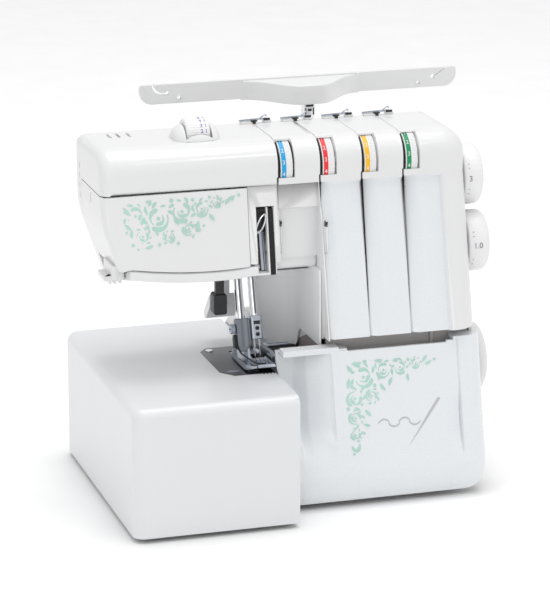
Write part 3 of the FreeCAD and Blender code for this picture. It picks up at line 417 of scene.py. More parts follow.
casing_low, casing_high = limits("front_cover")
dial_low, dial_high = limits("tension_dial_1")
next_dial_low, _ = limits("tension_dial_2")
DIAL_INSET = 2.6
SLOTS = [dial_low.x - DIAL_INSET + number * (next_dial_low.x - dial_low.x) for number in range(4)]
PITCH = SLOTS[1] - SLOTS[0]
COLUMN_FRONT = casing_low.y
COLUMN_BOTTOM = 134.5
HOOD_FRONT = 76
HOOD_BOTTOM = 256
PANEL_RIGHT = 140.5
COLUMN_LEFT = 38


def column_y(z, depth=0.0):
    """The leaning front of the column, some depth behind its face."""
    height = HOOD_BOTTOM - COLUMN_BOTTOM
    return COLUMN_FRONT + (z - COLUMN_BOTTOM) * (HOOD_FRONT - COLUMN_FRONT) / height + depth


def front_cover():
    shape = shape_of("front_cover")
    recess, deeper = (2.5, 5.5), 7
    for vert in shape.verts:
        x, y, z = vert.co
        in_panel = SLOTS[1] - 0.9 < x < PANEL_RIGHT + 0.1 and COLUMN_BOTTOM - 0.5 < z < HOOD_BOTTOM + 0.5
        if in_panel and recess[0] < y - column_y(z) < recess[1]:
            vert.co.y = column_y(z, deeper)
    grooves = bmesh.new()
    for slot in SLOTS:
        block(grooves, (slot - 0.5, slot + 0.5), (88, 143), (288.7, 295))
    vents = bmesh.new()
    for x in (-115.3, -108, -99.6):
        block(vents, (x - 1.2, x + 1.2), (127, 141.5), (280, 295), 1.19)
    sliced(shape, "z", steps(HOOD_BOTTOM + 0.9, casing_high.z - 0.6, 1.3))
    radius, axis_y, axis_z = 20, HOOD_FRONT + 20, casing_high.z - 20
    for vert in shape.verts:
        out = Vector((vert.co.y - axis_y, vert.co.z - axis_z))
        if vert.co.y < axis_y and vert.co.z > axis_z and abs(out.length - radius) < 0.35 and vert.co.x < 140:
            out = out.normalized() * radius
            vert.co.y, vert.co.z = axis_y + out.x, axis_z + out.y
    shape = carve(shape, grooves, vents)
    for slot in SLOTS[:3]:
        sliced(shape, "x", [slot + 15, slot + 20, slot + 26, slot + 31], HOOD_BOTTOM + 0.5)
    sliced(shape, "x", [142, 146, 152], HOOD_BOTTOM + 0.5)

    def brow(edge):
        return all(abs(v.co.z - HOOD_BOTTOM) < 0.1 and v.co.x < SLOTS[0] - 0.5 and v.co.y < HOOD_FRONT + 0.1
                   for v in edge.verts)

    soften(shape, 4.5, 40, 4, brow, clamp=False)
    soften(shape, 0.5, 32, 2)
    hero("front_cover", shape, WHITE)

    for number in (1, 2, 3):
        left = SLOTS[number] + 0.5
        right = SLOTS[number] + PITCH - 0.5 if number < 3 else PANEL_RIGHT
        face_width = 10 if number == 1 else 13.5

        def depth(x, z):
            width = face_width * (0.35 + 0.65 * ramp(z, COLUMN_BOTTOM - 8, 165)) * (
                1 - 0.2 * ramp(z, HOOD_BOTTOM - 35, HOOD_BOTTOM))
            facet = max(0, 1 - (x - left) / width)
            edge = 0.9 * (1 - ramp(x - left, 0, 1.4))
            if number < 3:
                edge += 0.5 * (1 - ramp(right - x, 0, 0.8))
            rise = 2.8 * max(ramp(z, HOOD_BOTTOM - 4, HOOD_BOTTOM),
                             ramp(x, PANEL_RIGHT - 3, PANEL_RIGHT) if number == 3 else 0)
            return max(0.25, 3 + 2.6 * facet ** 1.15 + edge - rise)

        xs = [*steps(left, left + 2, 0.4), *steps(left + 3, right - 3, 1.0), *steps(right - 2.5, right, 0.25)]
        zs = [*steps(COLUMN_BOTTOM, 250, 3), *steps(251, HOOD_BOTTOM, 0.5)]
        front = [[(x, column_y(z, depth(x, z)), z) for x in xs] for z in zs]
        back = [[(x, column_y(z, 6.9), z) for x in xs] for z in zs]
        trim(f"column_strip_{number}", "front_cover", skin(bmesh.new(), front, back), PANEL, sharp=50)


SMILE_LEFT = -118


def smile(x):
    """How far the head's lower front edge rises above its level, along x."""
    return 6.2 * ((x + 48) / 68) ** 2 - 1.6 if x < -48 else 2.2 * ((x + 48) / 40) ** 2 - 1.6


def face_cover():
    shape = soften(shape_of("face_cover"), 0.4)
    slit = block(bmesh.new(), (-145, -120), (110.6, 112.2), (243.5, 252), 0.75, "x")
    shape = carve(shape, slit)
    sliced(shape, "x", steps(-132, -24, 6))
    sliced(shape, "y", [84, 90, 96])
    for vert in shape.verts:
        x, y, z = vert.co
        low = (1 - ramp(z, 198, 214)) * ramp(z, 192, 195)
        vert.co.z += smile(max(x, SMILE_LEFT)) * low * (1 - ramp(y, 84, 96)) * ramp(x, -131, -112)
        vert.co.z = min(vert.co.z, HOOD_BOTTOM - 0.9)
    hero("face_cover", shape, WHITE, sharp=40)
    bracket = block(bmesh.new(), (-127.5, -117), (80, 110), (188.5, 200), 3)
    trim("cutter_bracket", "face_cover", soften(bracket, 0.8), WHITE)


def head_base():
    shape = soften(shape_of("head_base"), 0.5)
    sliced(shape, "x", [*steps(-112, -16, 6), 0.75, 0.85])
    for vert in shape.verts:
        x, y, z = vert.co
        if x < -18:
            vert.co.z += (smile(max(x, SMILE_LEFT)) * (1 - ramp(y, 84, 96)) * ramp(z, 183, 187) *
                          (1 - ramp(x, -30, -18)) * ramp(x, -131, -112))
        if x > 0.8:
            vert.co.y = max(vert.co.y, 90)
    hero("head_base", shape, WHITE, sharp=40)
    lip = bmesh.new()
    bar(lip, "x", 0.9, 37.4, path([(80.5, 196.6, 0.5), (79.8, 187, 4.5), (96, 183, 2), (96, 196.6)]))
    trim("pocket_lip", "head_base", lip, WHITE)


def rear_cover():
    shape = soften(shape_of("rear_cover"), 0.6)
    slits = bmesh.new()
    for z in (239, 247, 255, 263):
        block(slits, (-145, -120), (146.6, 148.2), (z, z + 5), 0.75, "x")
    rear_slits = bmesh.new()
    for first, low, high in ((-80, 200, 226), (62, 162, 186)):
        for x in steps(first, first + 60, 7.5):
            block(rear_slits, (x, x + 2.4), (140, 170), (low, high), 1.1, "y")
    hero("rear_cover", carve(shape, slits, rear_slits), WHITE, sharp=40)


def throat_wall():
    """The smooth inner wall to the right of the needles: across the back, round a corner, then forward."""
    back_y, corner, right, left, top, wall = 137, 14, COLUMN_LEFT - 0.4, 4, 187, 1.6
    plan = [(left, back_y), (left + 8, back_y), (right - corner, back_y)]
    plan += [(right - corner + corner * math.sin(a), back_y - corner + corner * math.cos(a))
             for a in (math.radians(d) for d in range(10, 91, 10))]
    plan += [(right, y) for y in steps(back_y - corner - 6, 66, 6)]
    rows = steps(0, 1, 0.05)

    def low(y):
        """The lower edge, with an arch over the loopers."""
        return 109 + 16.5 * ramp(128 - y, 0, 8)

    def sheet(inset):
        grid = []
        for way in rows:
            grid.append([])
            for x, y in plan:
                level = low(y) + (top - low(y)) * way
                front = max(y, column_y(level, 8))
                grid[-1].append((x - inset, front - inset * (y > back_y - corner), level))
        return grid

    # The wall wears the brighter throat white, which is painted light for the shaded throat.
    trim("throat_wall", "front_cover", skin(bmesh.new(), sheet(wall), sheet(0)), THROAT_PAINTED_LIGHT, sharp=40)
    # A dark sheet across the arch opening over the loopers: painted shade where the opening lies in shadow.
    shade_sheet = block(bmesh.new(), (COLUMN_LEFT + 0.1, COLUMN_LEFT + 1.3), (64, 128), (102, 126.5))
    trim("arch_painted_shade", "front_cover", shade_sheet, ARCH_PAINTED_SHADE)


def inner_apron():
    """The light inner plate that closes the casing behind the looper cover's top edge."""
    shape = bmesh.new()
    bar(shape, "x", 42, 160, path([(66, 98, 0.5), (68, 98, 0.5), (70.5, 133.5, 0.5), (66.5, 133.5, 0.5)]))
    block(shape, (128, 131), (63.5, 67), (100, 133), 0.8)
    trim("inner_apron", "side_cover", shape, APRON)


# ---------------------------------------------------------------- looper cover

cover_low, cover_high = limits("looper_cover")
RIDGE_Y = 29
RIDGE_Z = 28
COVER_TOP = 126
CHUTE_RIGHT = 41
CREASE_X = 146
COVER_WALL = 2.2
COVER_CORNER = 14
LEDGE_BOTTOM = 123.2
ROLL_TOP = 31  # below this the front rolls back a little


def bend(value, width=2.2):
    """Zero below zero and the value itself above, with a rounded knee."""
    return width * math.log1p(math.exp(min(60, value / width))) if value < 60 * width else value


def cover_y(x, z):
    """The front surface of the looper cover."""
    rise = (52 - RIDGE_Y) / (COVER_TOP - RIDGE_Z)
    tuck = (36 - RIDGE_Y) / (RIDGE_Z - cover_low.z)
    y = RIDGE_Y - 1 + rise * bend(z - RIDGE_Z) + tuck * bend(RIDGE_Z - z)
    if z < LEDGE_BOTTOM:
        slope = min(1, max(0, (CHUTE_RIGHT - x) / (CHUTE_RIGHT - 20)))
        across = 0.6 * slope + 0.4 * (1 - ramp(x, 13, 23))
        floor = 38 + 46 * max(0, 1 - (x - cover_low.x) / 13) ** 1.4
        y += 21 * across * ramp(z, floor, floor + 30)
    y -= 0.8 * math.exp(-((x - CHUTE_RIGHT - 0.6) / 1.3) ** 2) * ramp(z, 46, 60)
    y += 1.2 * math.exp(-((x - CREASE_X) / 0.7) ** 2) * ramp(z, 34, 40)
    y += 3.2 * ramp(x, 131, CREASE_X - 0.6) * (1 - ramp(x, CREASE_X - 0.2, CREASE_X + 1.2)) * (
        ramp(z, 35, 56) * (1 - ramp(z, 66, 95)))
    y += 1.6 * (1 - math.sqrt(1 - min(1, max(0, (ROLL_TOP - z) / ROLL_TOP)) ** 2))
    reach = min(1, max(0, (x - cover_high.x + COVER_CORNER) / COVER_CORNER))
    return y + COVER_CORNER * (1 - math.sqrt(1 - reach ** 2))


def cover_top(x):
    """The stepped upper edge of the looper cover."""
    for right, level in ((48, 125.2), (55, 124.6), (137, 124), (143, 125.5)):
        if x < right:
            return level
    return 128


def looper_cover():
    right, back, corner = cover_high.x, 64, 20
    turn = [right - COVER_CORNER + COVER_CORNER * math.sin(math.radians(angle)) for angle in range(0, 91, 6)]
    xs = [*steps(cover_low.x, 41, 0.9), *steps(42, 48.9, 1.2), 49.1, *steps(50, 54.9, 1.2), 55.1,
          *steps(58, 130, 4), *steps(131, 136.9, 0.8), 137.1, *steps(138, 142.9, 0.6),
          *steps(143.1, 148, 0.3), *steps(149, 153, 1), *turn]
    zs = [*steps(cover_low.z, 20, 1.5), *steps(20.7, 36, 0.7), *steps(37, 121, 1.6),
          LEDGE_BOTTOM - 0.1, LEDGE_BOTTOM + 0.1, 124.4, 125.2, COVER_TOP]
    flange = [54, 58, back]
    front, inner = [], []
    for row in range(len(zs) + len(flange)):
        front.append([])
        inner.append([])
        for column in range(len(xs) + len(flange)):
            x = xs[min(column, len(xs) - 1)]
            top = cover_top(x)
            z = zs[min(row, len(zs) - 1)]
            if z > LEDGE_BOTTOM:
                z = LEDGE_BOTTOM + (z - LEDGE_BOTTOM) * (top - LEDGE_BOTTOM) / (COVER_TOP - LEDGE_BOTTOM)
            over = max(0, x - right + corner)
            bottom = cover_low.z + corner - math.sqrt(max(0, corner ** 2 - over ** 2))
            if z < 36:
                z = 36 - (36 - z) * (36 - bottom) / (36 - cover_low.z)
            y = cover_y(x, z)
            if row >= len(zs):
                shallow = 55 < x < 143 and column < len(xs)
                y = max(y, min(flange[row - len(zs)], y + 2.4) if shallow else flange[row - len(zs)])
            if column >= len(xs):
                y = max(y, flange[column - len(xs)])
            wall = COVER_WALL if row < len(zs) and column < len(xs) else 0
            front[-1].append((x, y, z))
            inner[-1].append((min(x, right - COVER_WALL), y + wall, min(z, top - COVER_WALL)))
    shape = skin(bmesh.new(), front, inner)
    for x in (13, 137):
        block(shape, (x, x + 4), (33, 49), (9, 22), 2, "x")
    hero("looper_cover", shape, PANEL, sharp=38)
    ledge = block(bmesh.new(), (cover_low.x + 0.2, 47.5), (50.6, 62), (LEDGE_BOTTOM + 0.2, 127.8), 1)
    soften(ledge, 0.5)
    block(ledge, (47, 54.5), (51.4, 61), (LEDGE_BOTTOM + 0.4, 126), 0.8)
    trim("cover_ledge", "looper_cover", ledge, PANEL, sharp=38)


# ---------------------------------------------------------------- dials

DIAL_Y, DIAL_Z = (dial_low.y + dial_high.y) / 2, (dial_low.z + dial_high.z) / 2


def lettering(shape, text, size, place):
    """Raised figures; place turns a figure's own (across, up, out) into workshop millimetres."""
    curve = bpy.data.curves.new("figure", "FONT")
    curve.body = text
    curve.size = size
    curve.align_x = "CENTER"
    curve.align_y = "CENTER"
    curve.extrude = 0.05
    curve.resolution_u = 4
    figure = bpy.data.objects.new("figure", curve)
    bpy.context.scene.collection.objects.link(figure)
    mesh = bpy.data.meshes.new_from_object(figure.evaluated_get(bpy.context.evaluated_depsgraph_get()))
    part = bmesh.new()
    part.from_mesh(mesh)
    bmesh.ops.remove_doubles(part, verts=part.verts, dist=0.001)
    for vert in part.verts:
        vert.co = Vector(place(*vert.co))
    part.to_mesh(mesh)
    part.free()
    shape.from_mesh(mesh)
    bpy.data.objects.remove(figure)
    bpy.data.curves.remove(curve)
    bpy.data.meshes.remove(mesh)
    return shape


def on_rim(x, centre_y, centre_z, radius, angle):
    """Wrap figures on a dial's rim, facing forward, at an angle up from the front."""
    raised = 0.05

    def place(across, up, out):
        turn = math.radians(angle) + up / radius
        reach = radius + 0.02 + out + raised
        return x + across, centre_y - reach * math.cos(turn), centre_z + reach * math.sin(turn)
    return place


def tension_dials():
    for number, (slot, colour) in enumerate(zip(SLOTS, BANDS), start=1):
        left, right = slot + DIAL_INSET, slot + 12.9
        rim, band, rib = 21.6, 21.35, 21.55
        profile = [(2.05, left), (20.6, left), (rim, left + 0.3), (rim, slot + 3.5), (band, slot + 3.6),
                   (band, slot + 7.3), (rim, slot + 7.4), (rim, slot + 8.1), (rib, slot + 8.3),
                   (rib, slot + 12.3), (21.1, slot + 12.5), (20.6, right), (2.05, right)]  # 2.05 is the bore
        paint = [0] * len(profile)
        paint[4] = 1

        def ribs(index, angle):
            return -0.3 if index in (8, 9) and round(angle / math.tau * 400) % 4 == 0 else 0

        shape = lathe(bmesh.new(), "x", (0, DIAL_Y, DIAL_Z), profile, 400, paint, ribs)
        hero(f"tension_dial_{number}", shape, [DIAL_WHITE, colour], sharp=40, level=False)
        disc = lathe(bmesh.new(), "x", (0, DIAL_Y, DIAL_Z), [(radius, slot + reach) for radius, reach in (
            (2.05, 0.5), (20.9, 0.5), (21.3, 0.8), (21.3, 1.3), (20.7, 1.4), (20.7, 1.7), (21.3, 1.8),
            (21.3, 2.2), (20.9, 2.4), (2.05, 2.4))], 160)
        trim(f"tension_disc_{number}", f"tension_dial_{number}", disc, BLACK, level=False)
        figures = bmesh.new()
        for figure in range(10):
            angle = 15.6 + (3 - figure) * 25.4
            lettering(figures, str(figure), 4.6, on_rim(slot + 5.45, DIAL_Y, DIAL_Z, band, angle))
        trim(f"dial_figures_{number}", f"tension_dial_{number}", figures, DIAL_WHITE, level=False)


def side_dials():
    for node, text, angles in (("stitch_length_dial", "3", (24, 32, -16, -26)),
                               ("differential_dial", "1.0", (30, 22, -24, -34))):
        low, high = limits(node)
        y, z = (low.y + high.y) / 2, (low.z + high.z) / 2
        radius = (high.z - low.z) / 2
        left, right = casing_high.x + 0.8, high.x
        profile = [(0, low.x), (4, low.x), (4, left), (radius - 1, left), (radius, left + 1)]
        profile += [(radius - less, right - back) for less, back in (
            (0.3, 5), (0.9, 2.6), (2.2, 1), (4, 0.3), (8, 0.6), (12, 1.2))]
        profile.append((0, right - 1.6))

        def grip(index, angle):
            return 0.35 * max(0, math.cos(angle * 36)) ** 4 if 6 <= index <= 7 else 0

        hero(node, lathe(bmesh.new(), "x", (0, y, z), profile, 288, None, grip), DIAL_WHITE, sharp=50,
             level=False)
        marks = bmesh.new()
        lettering(marks, text, 6.4, on_rim(left + (4.5 if len(text) == 1 else 7), y, z, radius, 3))
        for angle in angles:
            lettering(marks, "-", 5, on_rim(left + 3.5, y, z, radius, angle))
        trim(node + "_marks", node, marks, INK, level=False)


def pressure_dial():
    low, high = limits("dial_housing")
    wheel_low, wheel_high = limits("pressure_dial")
    x, y, top = (low.x + high.x) / 2, (low.y + high.y) / 2, casing_high.z
    half = (high.x - low.x) / 2
    radius = (high.z - top) + 6
    profile = [(0, x - half)]
    for angle in range(4, 180, 4):
        across = math.radians(angle)
        swell = math.sin(across) ** 0.45
        profile.append((radius * swell, x - half * math.cos(across)))
    profile.append((0, x + half))
    shape = lathe(bmesh.new(), "x", (0, y, top - 6), profile, 96)
    under = block(bmesh.new(), (x - 40, x + 40), (y - 40, y + 40), (top - 40, top + 0.1))
    centre = (0, y, (wheel_low.z + wheel_high.z) / 2)
    well_left, well_right = wheel_low.x - 1.1, wheel_high.x + 1.1
    well = lathe(bmesh.new(), "x", centre, rod(15.2, well_left, well_right), 96)
    opening = block(bmesh.new(), (well_left, well_right), (y - 14.5, y + 14.5), (top, top + 30))
    shape = carve(shape, under, well, opening)
    hero("dial_housing", shape, WHITE, sharp=40)

    size = (wheel_high.z - wheel_low.z) / 2 - 0.2  # the raised figures stay inside the CAD wheel
    profile = [(2.05, wheel_low.x), (size - 1, wheel_low.x), (size, wheel_low.x + 1),
               (size, wheel_high.x - 1), (size - 1, wheel_high.x), (2.05, wheel_high.x)]

    def knurl(index, angle):
        return -0.35 * max(0, math.cos(angle * 40)) ** 6 if index in (2, 3) else 0

    hero("pressure_dial", lathe(bmesh.new(), "x", centre, profile, 320, None, knurl), DIAL_WHITE, level=False)
    marks = bmesh.new()
    for step in range(7):
        for text, inset in ((str(step + 1), 6.8), ("I", 3.2)):
            lettering(marks, text, 4.2, on_rim(wheel_high.x - inset, y, centre[2], size, 2 + 20 * step))
    trim("pressure_marks", "pressure_dial", marks, PURPLE, level=False)


# ---------------------------------------------------------------- thread path

def stroke(points, width):
    """The outline of a line of even width through (a, b) points."""
    points = [Vector((*p, 0)) for p in points]
    left, right = [], []
    for number, point in enumerate(points):
        heading = (points[min(number + 1, len(points) - 1)] - points[max(number - 1, 0)]).normalized()
        side = Vector((-heading.y, heading.x, 0)) * width / 2
        left.append((point + side).to_2d())
        right.append((point - side).to_2d())
    return left + right[::-1]


def thread_bar():
    low, high = limits("thread_guide_bar")
    front, back, bottom, top = 265, 268.5, 283, high.z
    shape = bmesh.new()
    bar(shape, "y", front, back, path([(low.x, bottom, 11), (high.x, bottom, 11), (high.x, top, 3),
                                       (low.x, top, 3)]))
    middle, half = 82, 52

    def bulge(x):
        u = abs(x - middle) / half
        return front - 33 * (1 - ramp(u, 0.16, 1)) ** 1.2

    xs = steps(middle - half, middle + half, 2)
    outline = [(x, bulge(x)) for x in xs] + [(x, min(back - 0.3, bulge(x) + 60)) for x in (xs[-1], xs[0])]
    hub = bar(bmesh.new(), "z", bottom - 1, top - 1.6, [Vector(p) for p in outline])
    soften(hub, 1.2, 40, 3)
    soften(shape, 0.8, 40, 3)
    slits, eyes, ends = bmesh.new(), bmesh.new(), bmesh.new()
    through, eye_places = (250, 280), (-23, 55, 109, 187)
    for x in (-46, 33):
        curve = smooth_line([(x + across, top + up, 0) for across, up in (
            (0, 2), (1.5, -4), (6, -8), (13, -8.5))])
        bar(slits, "y", *through, stroke([p.to_2d() for p in curve], 1.7))
        lathe(ends, "y", (x + 13, 0, top - 8), rod(1.7, *through), 24)
    for x, reach in ((136, 15), (214, 14)):
        bar(slits, "y", *through, stroke([(x + 2, top + 2), (x - reach, top - 8)], 1.5))
        lathe(ends, "y", (x - reach, 0, top - 8), rod(2.1, *through), 24)
    for x in eye_places:
        lathe(eyes, "y", (x, 0, bottom + 4.5), rod(1.7, *through), 24)
    shape = carve(shape, slits, ends, eyes)
    grommet = [(1.7, front - 0.35), (2.5, front - 0.35), (2.8, front - 0.05), (2.8, back + 0.3),
               (1.7, back + 0.3)]
    for x in eye_places:
        lathe(shape, "y", (x, 0, bottom + 4.5), grommet, 36)
    hero("thread_guide_bar", shape, WHITE, name="thread_bar", sharp=40)
    trim("thread_bar_hub", "thread_guide_bar", hub, WHITE, sharp=40)

    mast = limits("mast_rod")
    x, y = (mast[0].x + mast[1].x) / 2, (mast[0].y + mast[1].y) / 2
    collar = block(bmesh.new(), (x - 4.9, x + 4.9), (y - 4.9, y + 4.9), (bottom - 10.5, bottom - 1), 1.2)
    trim("mast_collar", "mast_rod", soften(collar, 0.5), CHROME)
    marks = bmesh.new()
    block(marks, (x - 3.2, x + 3.2), (y - 5.1, y - 4.7), (bottom - 3.4, bottom - 1.6))
    for side in (-3.9, 2.9):
        block(marks, (x + side, x + side + 1), (y - 5.1, y - 4.7), (bottom - 10.2, bottom - 4.4))
    block(marks, (x - 1.6, x + 1.6), (y - 5.1, y - 4.7), (bottom - 9.4, bottom - 5))
    trim("mast_collar_marks", "mast_rod", marks, BLACKENED)


def thread_guides():
    """Spring clips on top of the casing, the take-up guides and the wires in the thread channels."""
    top = casing_high.z
    white, metal, dark, wires = bmesh.new(), bmesh.new(), bmesh.new(), bmesh.new()
    for slot in SLOTS:
        x = slot - 8
        block(white, (x - 2, x + 8), (143.4, 151), (top, top + 1.3), 1.2)
        block(white, (x + 17, x + 24), (145, 151), (top, top + 1.6), 1.5)
        bar(metal, "y", 145.2, 146, [(x - 3, top + 1.9), (x + 22, top + 2.5), (x + 22, top + 3.7),
                                     (x - 3, top + 2.6)])
        bar(metal, "z", top + 2.2, top + 3, [(x - 3, 146), (x + 21, 149), (x + 21, 150.6), (x - 3, 147)])
        tube(metal, smooth_line([(x + 13, 146, top + 3), (x + 16, 146.5, top + 4.8), (x + 18.5, 147, top + 6),
                                 (x + 20, 147, top + 5)]), 0.55)
        block(dark, (x + 17, x + 22.3), (144.6, 145.4), (top + 2, top + 3.6))
        lathe(dark, "z", (x + 9, 143.6, 0), [(0, top - 1), (1.3, top - 1), (1.3, top + 2.2), (0, top + 2.4)],
              20)
        block(dark, (x + 6.5, x + 11.5), (143.4, 146), (top + 1.6, top + 2.5))
    for x, y, z in ((SLOTS[0] + 2.3, 76.5, 226), (COLUMN_LEFT + 3.1, 64.5, 226)):
        tube(wires, smooth_line([(x, y + 2.5, z), (x, y - 0.6, z - 0.5), (x + 0.4, y - 0.2, z - 12),
                                 (x + 1.2, y + 0.3, z - 24), (x + 0.6, y + 2.2, z - 25.4),
                                 (x - 0.6, y + 0.4, z - 25)]), 0.5)
        block(dark, (x - 0.9, x + 0.9), (y - 1.2, y + 3.5), (z - 3.4, z + 0.6), 0.6)
    trim("guide_wires", "thread_guides", wires, CHROME)
    trim("guide_bosses", "thread_guides", soften(white, 0.3), WHITE)
    trim("guide_pins", "thread_guides", dark, BLACK)
    hero("thread_guides", metal, STEEL, name="guide_clips")


# ---------------------------------------------------------------- needles, presser and take-up

FOOT_Y = 98.4
BAR_TILT = -16.7
BAR_RADIUS = 3.5
PLATE_TOP = limits("needle_plate")[1].z
LEAN = Matrix.Translation((0, FOOT_Y, PLATE_TOP)) @ Matrix.Rotation(math.radians(BAR_TILT), 4, "X")


def leaning(shape):
    """Tip a shape that was drawn upright, from the point where the bars meet the plate."""
    bmesh.ops.transform(shape, matrix=LEAN, verts=shape.verts)
    return shape


def polished_bars():
    for node, x, low, high in (("needle_bar", -4.5, 26, 150), ("presser_bar", -16, 18, 148)):
        profile = [(0, low), (BAR_RADIUS - 0.5, low), (BAR_RADIUS, low + 0.5), (BAR_RADIUS, high - 0.5),
                   (BAR_RADIUS - 0.5, high), (0, high)]
        hero(node, leaning(lathe(bmesh.new(), "z", (x, 0, 0), profile, 48)), CHROME, sharp=50)
        # A dark steel strip down the front of each chrome bar: a painted dark reflection.
        flat = block(bmesh.new(), (x - 0.75, x + 0.75), (-3.62, -3.3), (low + 12, high - 2))
        trim(node + "_painted_reflection", node, leaning(flat), DARK_STEEL)


def ankle():
    shape = bmesh.new()
    outline = path([(-21, 14.5, 2), (-19.6, 8.6, 1.2), (-14.1, 8.6, 1.2), (-10, 15, 2), (-10, 35, 1.6),
                    (-21, 35, 1.6)], 0.5)
    bar(shape, "y", -4.6, 4.6, outline)
    soften(shape, 0.9, 60, 3)
    hollow = lathe(bmesh.new(), "z", (-15.4, -8.2, 0), rod(4.2, 12, 40), 40)
    groove = block(bmesh.new(), (-12.1, -11.6), (-5, -3.9), (15, 36))
    shape = carve(shape, hollow, groove)
    hero("foot_ankle", leaning(shape), SATIN_GREY, sharp=35)

    screw = bmesh.new()

    def knurl(index, angle):
        return -0.35 * (round(angle / math.tau * 96) % 4 == 0) if index in (2, 3) else 0

    lathe(screw, "x", (0, 0, 27), [(0, -25.5), (3.5, -25.5), (4, -25), (4, -22.3), (3.4, -21.6), (1.5, -21.4),
                                   (1.5, -19.5), (0, -19.5)], 96, None, knurl)
    hero("foot_screw", leaning(screw), STEEL, sharp=30)
    # A thin black bar across the screw head: painted shade for its slot.
    slot = block(bmesh.new(), (-25.7, -25.3), (-3, 3), (26.5, 27.5))
    trim("foot_screw_slot_painted_shade", "foot_screw", leaning(slot), BLACKENED)
    lever = bmesh.new()
    outline = path([(-4, 12, 1), (2, 12, 1), (3, 19, 1.5), (1, 22.5, 1), (-3, 22, 1)], 0.5)
    bar(lever, "x", -23.6, -20.8, outline)
    trim("foot_release_lever", "foot_ankle", leaning(soften(lever, 0.4)), BLACK)


def clamp():
    left, right, front, back = -9.2, 0.2, -5.2, 5.2
    screw_levels = (26.3, 21.4)
    shape = bmesh.new()
    bar(shape, "z", 17.5, 36.5, path([(left, front, 1.6), (right, front, 2.4), (right, back, 2.4),
                                      (left, back, 1.6)], 0.4))
    soften(shape, 0.7, 50, 3)
    cuts = bmesh.new()
    block(cuts, (-7.2, -1.8), (-6, -3.4), (29.2, 32.4), 0.8, "y")
    for z in screw_levels:
        lathe(cuts, "y", (-4.5, 0, z), rod(1.75, -6, -3.2), 32)
    rings = bmesh.new()
    for z in (19.6, 22.4, 25.2, 28, 33.8):
        block(rings, (-0.5, 0.6), (-6, 1), (z, z + 0.8))
    block(rings, (left - 1, left + 0.7), (-6, 6), (28.1, 28.7))
    shape = carve(shape, cuts, rings)
    hero("needle_clamp", leaning(shape), STEEL, sharp=35)
    screws_and_slot_shade = bmesh.new()
    for z in screw_levels:
        lathe(screws_and_slot_shade, "y", (-4.5, 0, z), [(0, -4.1), (0.8, -4.1), (0.8, -4.6), (1.5, -4.6), (1.5, -3.3),
                                          (0, -3.3)], 24)
    # A black block at the back of the carved slot: painted shade inside the slot.
    block(screws_and_slot_shade, (-7, -2), (-3.9, -3.5), (29.4, 32.2))
    trim("clamp_screws_and_slot_shade", "needle_clamp", leaning(screws_and_slot_shade), BLACKENED)

    needles = bmesh.new()
    for x, tip in ((-6.6, 1.5), (-2.4, 2.5)):
        lathe(needles, "z", (x, 0, 0), [(0, tip), (0.14, tip + 0.6), (0.42, tip + 3), (0.45, tip + 9),
                                        (0.82, tip + 11), (0.82, 25.5), (0, 25.5)], 24)
        block(needles, (x - 0.85, x + 0.85), (-1.1, -0.35), (tip + 9.5, 17.8), 0.2)
    hero("needles", leaning(needles), NEEDLE, sharp=45)


def presser_foot():
    left, right, heel, toe = -22.5, 0.6, 118, 64
    base = PLATE_TOP + 1.3
    middle, half = (left + right) / 2, (right - left) / 2
    top, under = [], []
    for y in [*steps(toe, toe + 4, 0.4), *steps(toe + 5, toe + 16, 1), *steps(toe + 18, heel, 2)]:
        forward = max(0, (toe + 14 - y) / 14)
        width = half * math.sqrt(max(0, 1 - forward ** 2.6 * 0.5))
        shift = 2.4 * forward ** 2
        lift = 3.4 * forward ** 2
        rear = max(0, (y - heel + 8) / 8)
        width *= 1 - 0.16 * rear ** 2
        top.append([])
        under.append([])
        for t in [*steps(-1, -0.8, 0.04), *steps(-0.74, 0.74, 0.12), *steps(0.8, 1, 0.04)]:
            rail = 1.9 * ramp(abs(t), 0.8, 0.9) * (1 - ramp(abs(t), 0.97, 1.0))
            rail *= 1 - ramp(forward, 0.55, 0.95)
            lip = 1.0 * ramp(forward, 0.6, 0.85) * (1 - abs(t) ** 6)
            x = middle + shift + width * t
            top[-1].append((x, y, base + lift + 2.1 + rail + lip - 0.6 * ramp(abs(t), 0.95, 1)))
            under[-1].append((x, y, base + lift + 0.5 * forward))
    shape = skin(bmesh.new(), top, under)
    needle_hole = block(bmesh.new(), (-9.6, 0.2), (92.5, 108), (100, 125), 1.2)
    thread_slit = block(bmesh.new(), (-15.6, -14.8), (60, 92), (100, 125))
    shape = carve(shape, needle_hole, thread_slit)
    lug = path([(95, base + 1, 0.5), (109, base + 1, 0.5), (106, base + 10, 2.5),
                (99.5, base + 10.2, 2.5)], 0.5)
    rib = path([(79, base + 1.4, 0.4), (93, base + 1.4, 0.4), (92, base + 3.6, 0.8),
                (84, base + 3.2, 1)], 0.5)
    for x0, x1, outline in ((-22.2, -20.4, lug), (-13.4, -11.6, lug), (-9.9, -8.9, rib), (-6.4, -5.7, rib),
                            (-3.2, -2.5, rib), (0.1, 0.6, rib)):
        bar(shape, "x", x0, x1, outline)
    lathe(shape, "x", (0, 101.42, PLATE_TOP + 10.06), rod(1.2, -22.3, -11.1), 24)
    hero("presser_foot", shape, STEEL, sharp=35)
    bridge = block(bmesh.new(), (-10.4, 0.5), (88, 92.4), (base + 2.2, base + 3.4), 0.6)
    trim("foot_needle_bridge", "presser_foot", soften(bridge, 0.25), CHROME)
    route = smooth_line([(x, y, base + up) for x, y, up in (
        (-21.9, 97, 12), (-21, 90, 9), (-17, 84.5, 6.2), (-13, 80.4, 3.6), (-9.8, 78.6, 2.9),
        (-4, 78.2, 2.8))], 8)
    trim("foot_spring_wire", "presser_foot", tube(bmesh.new(), route, 0.62), BLACKENED)


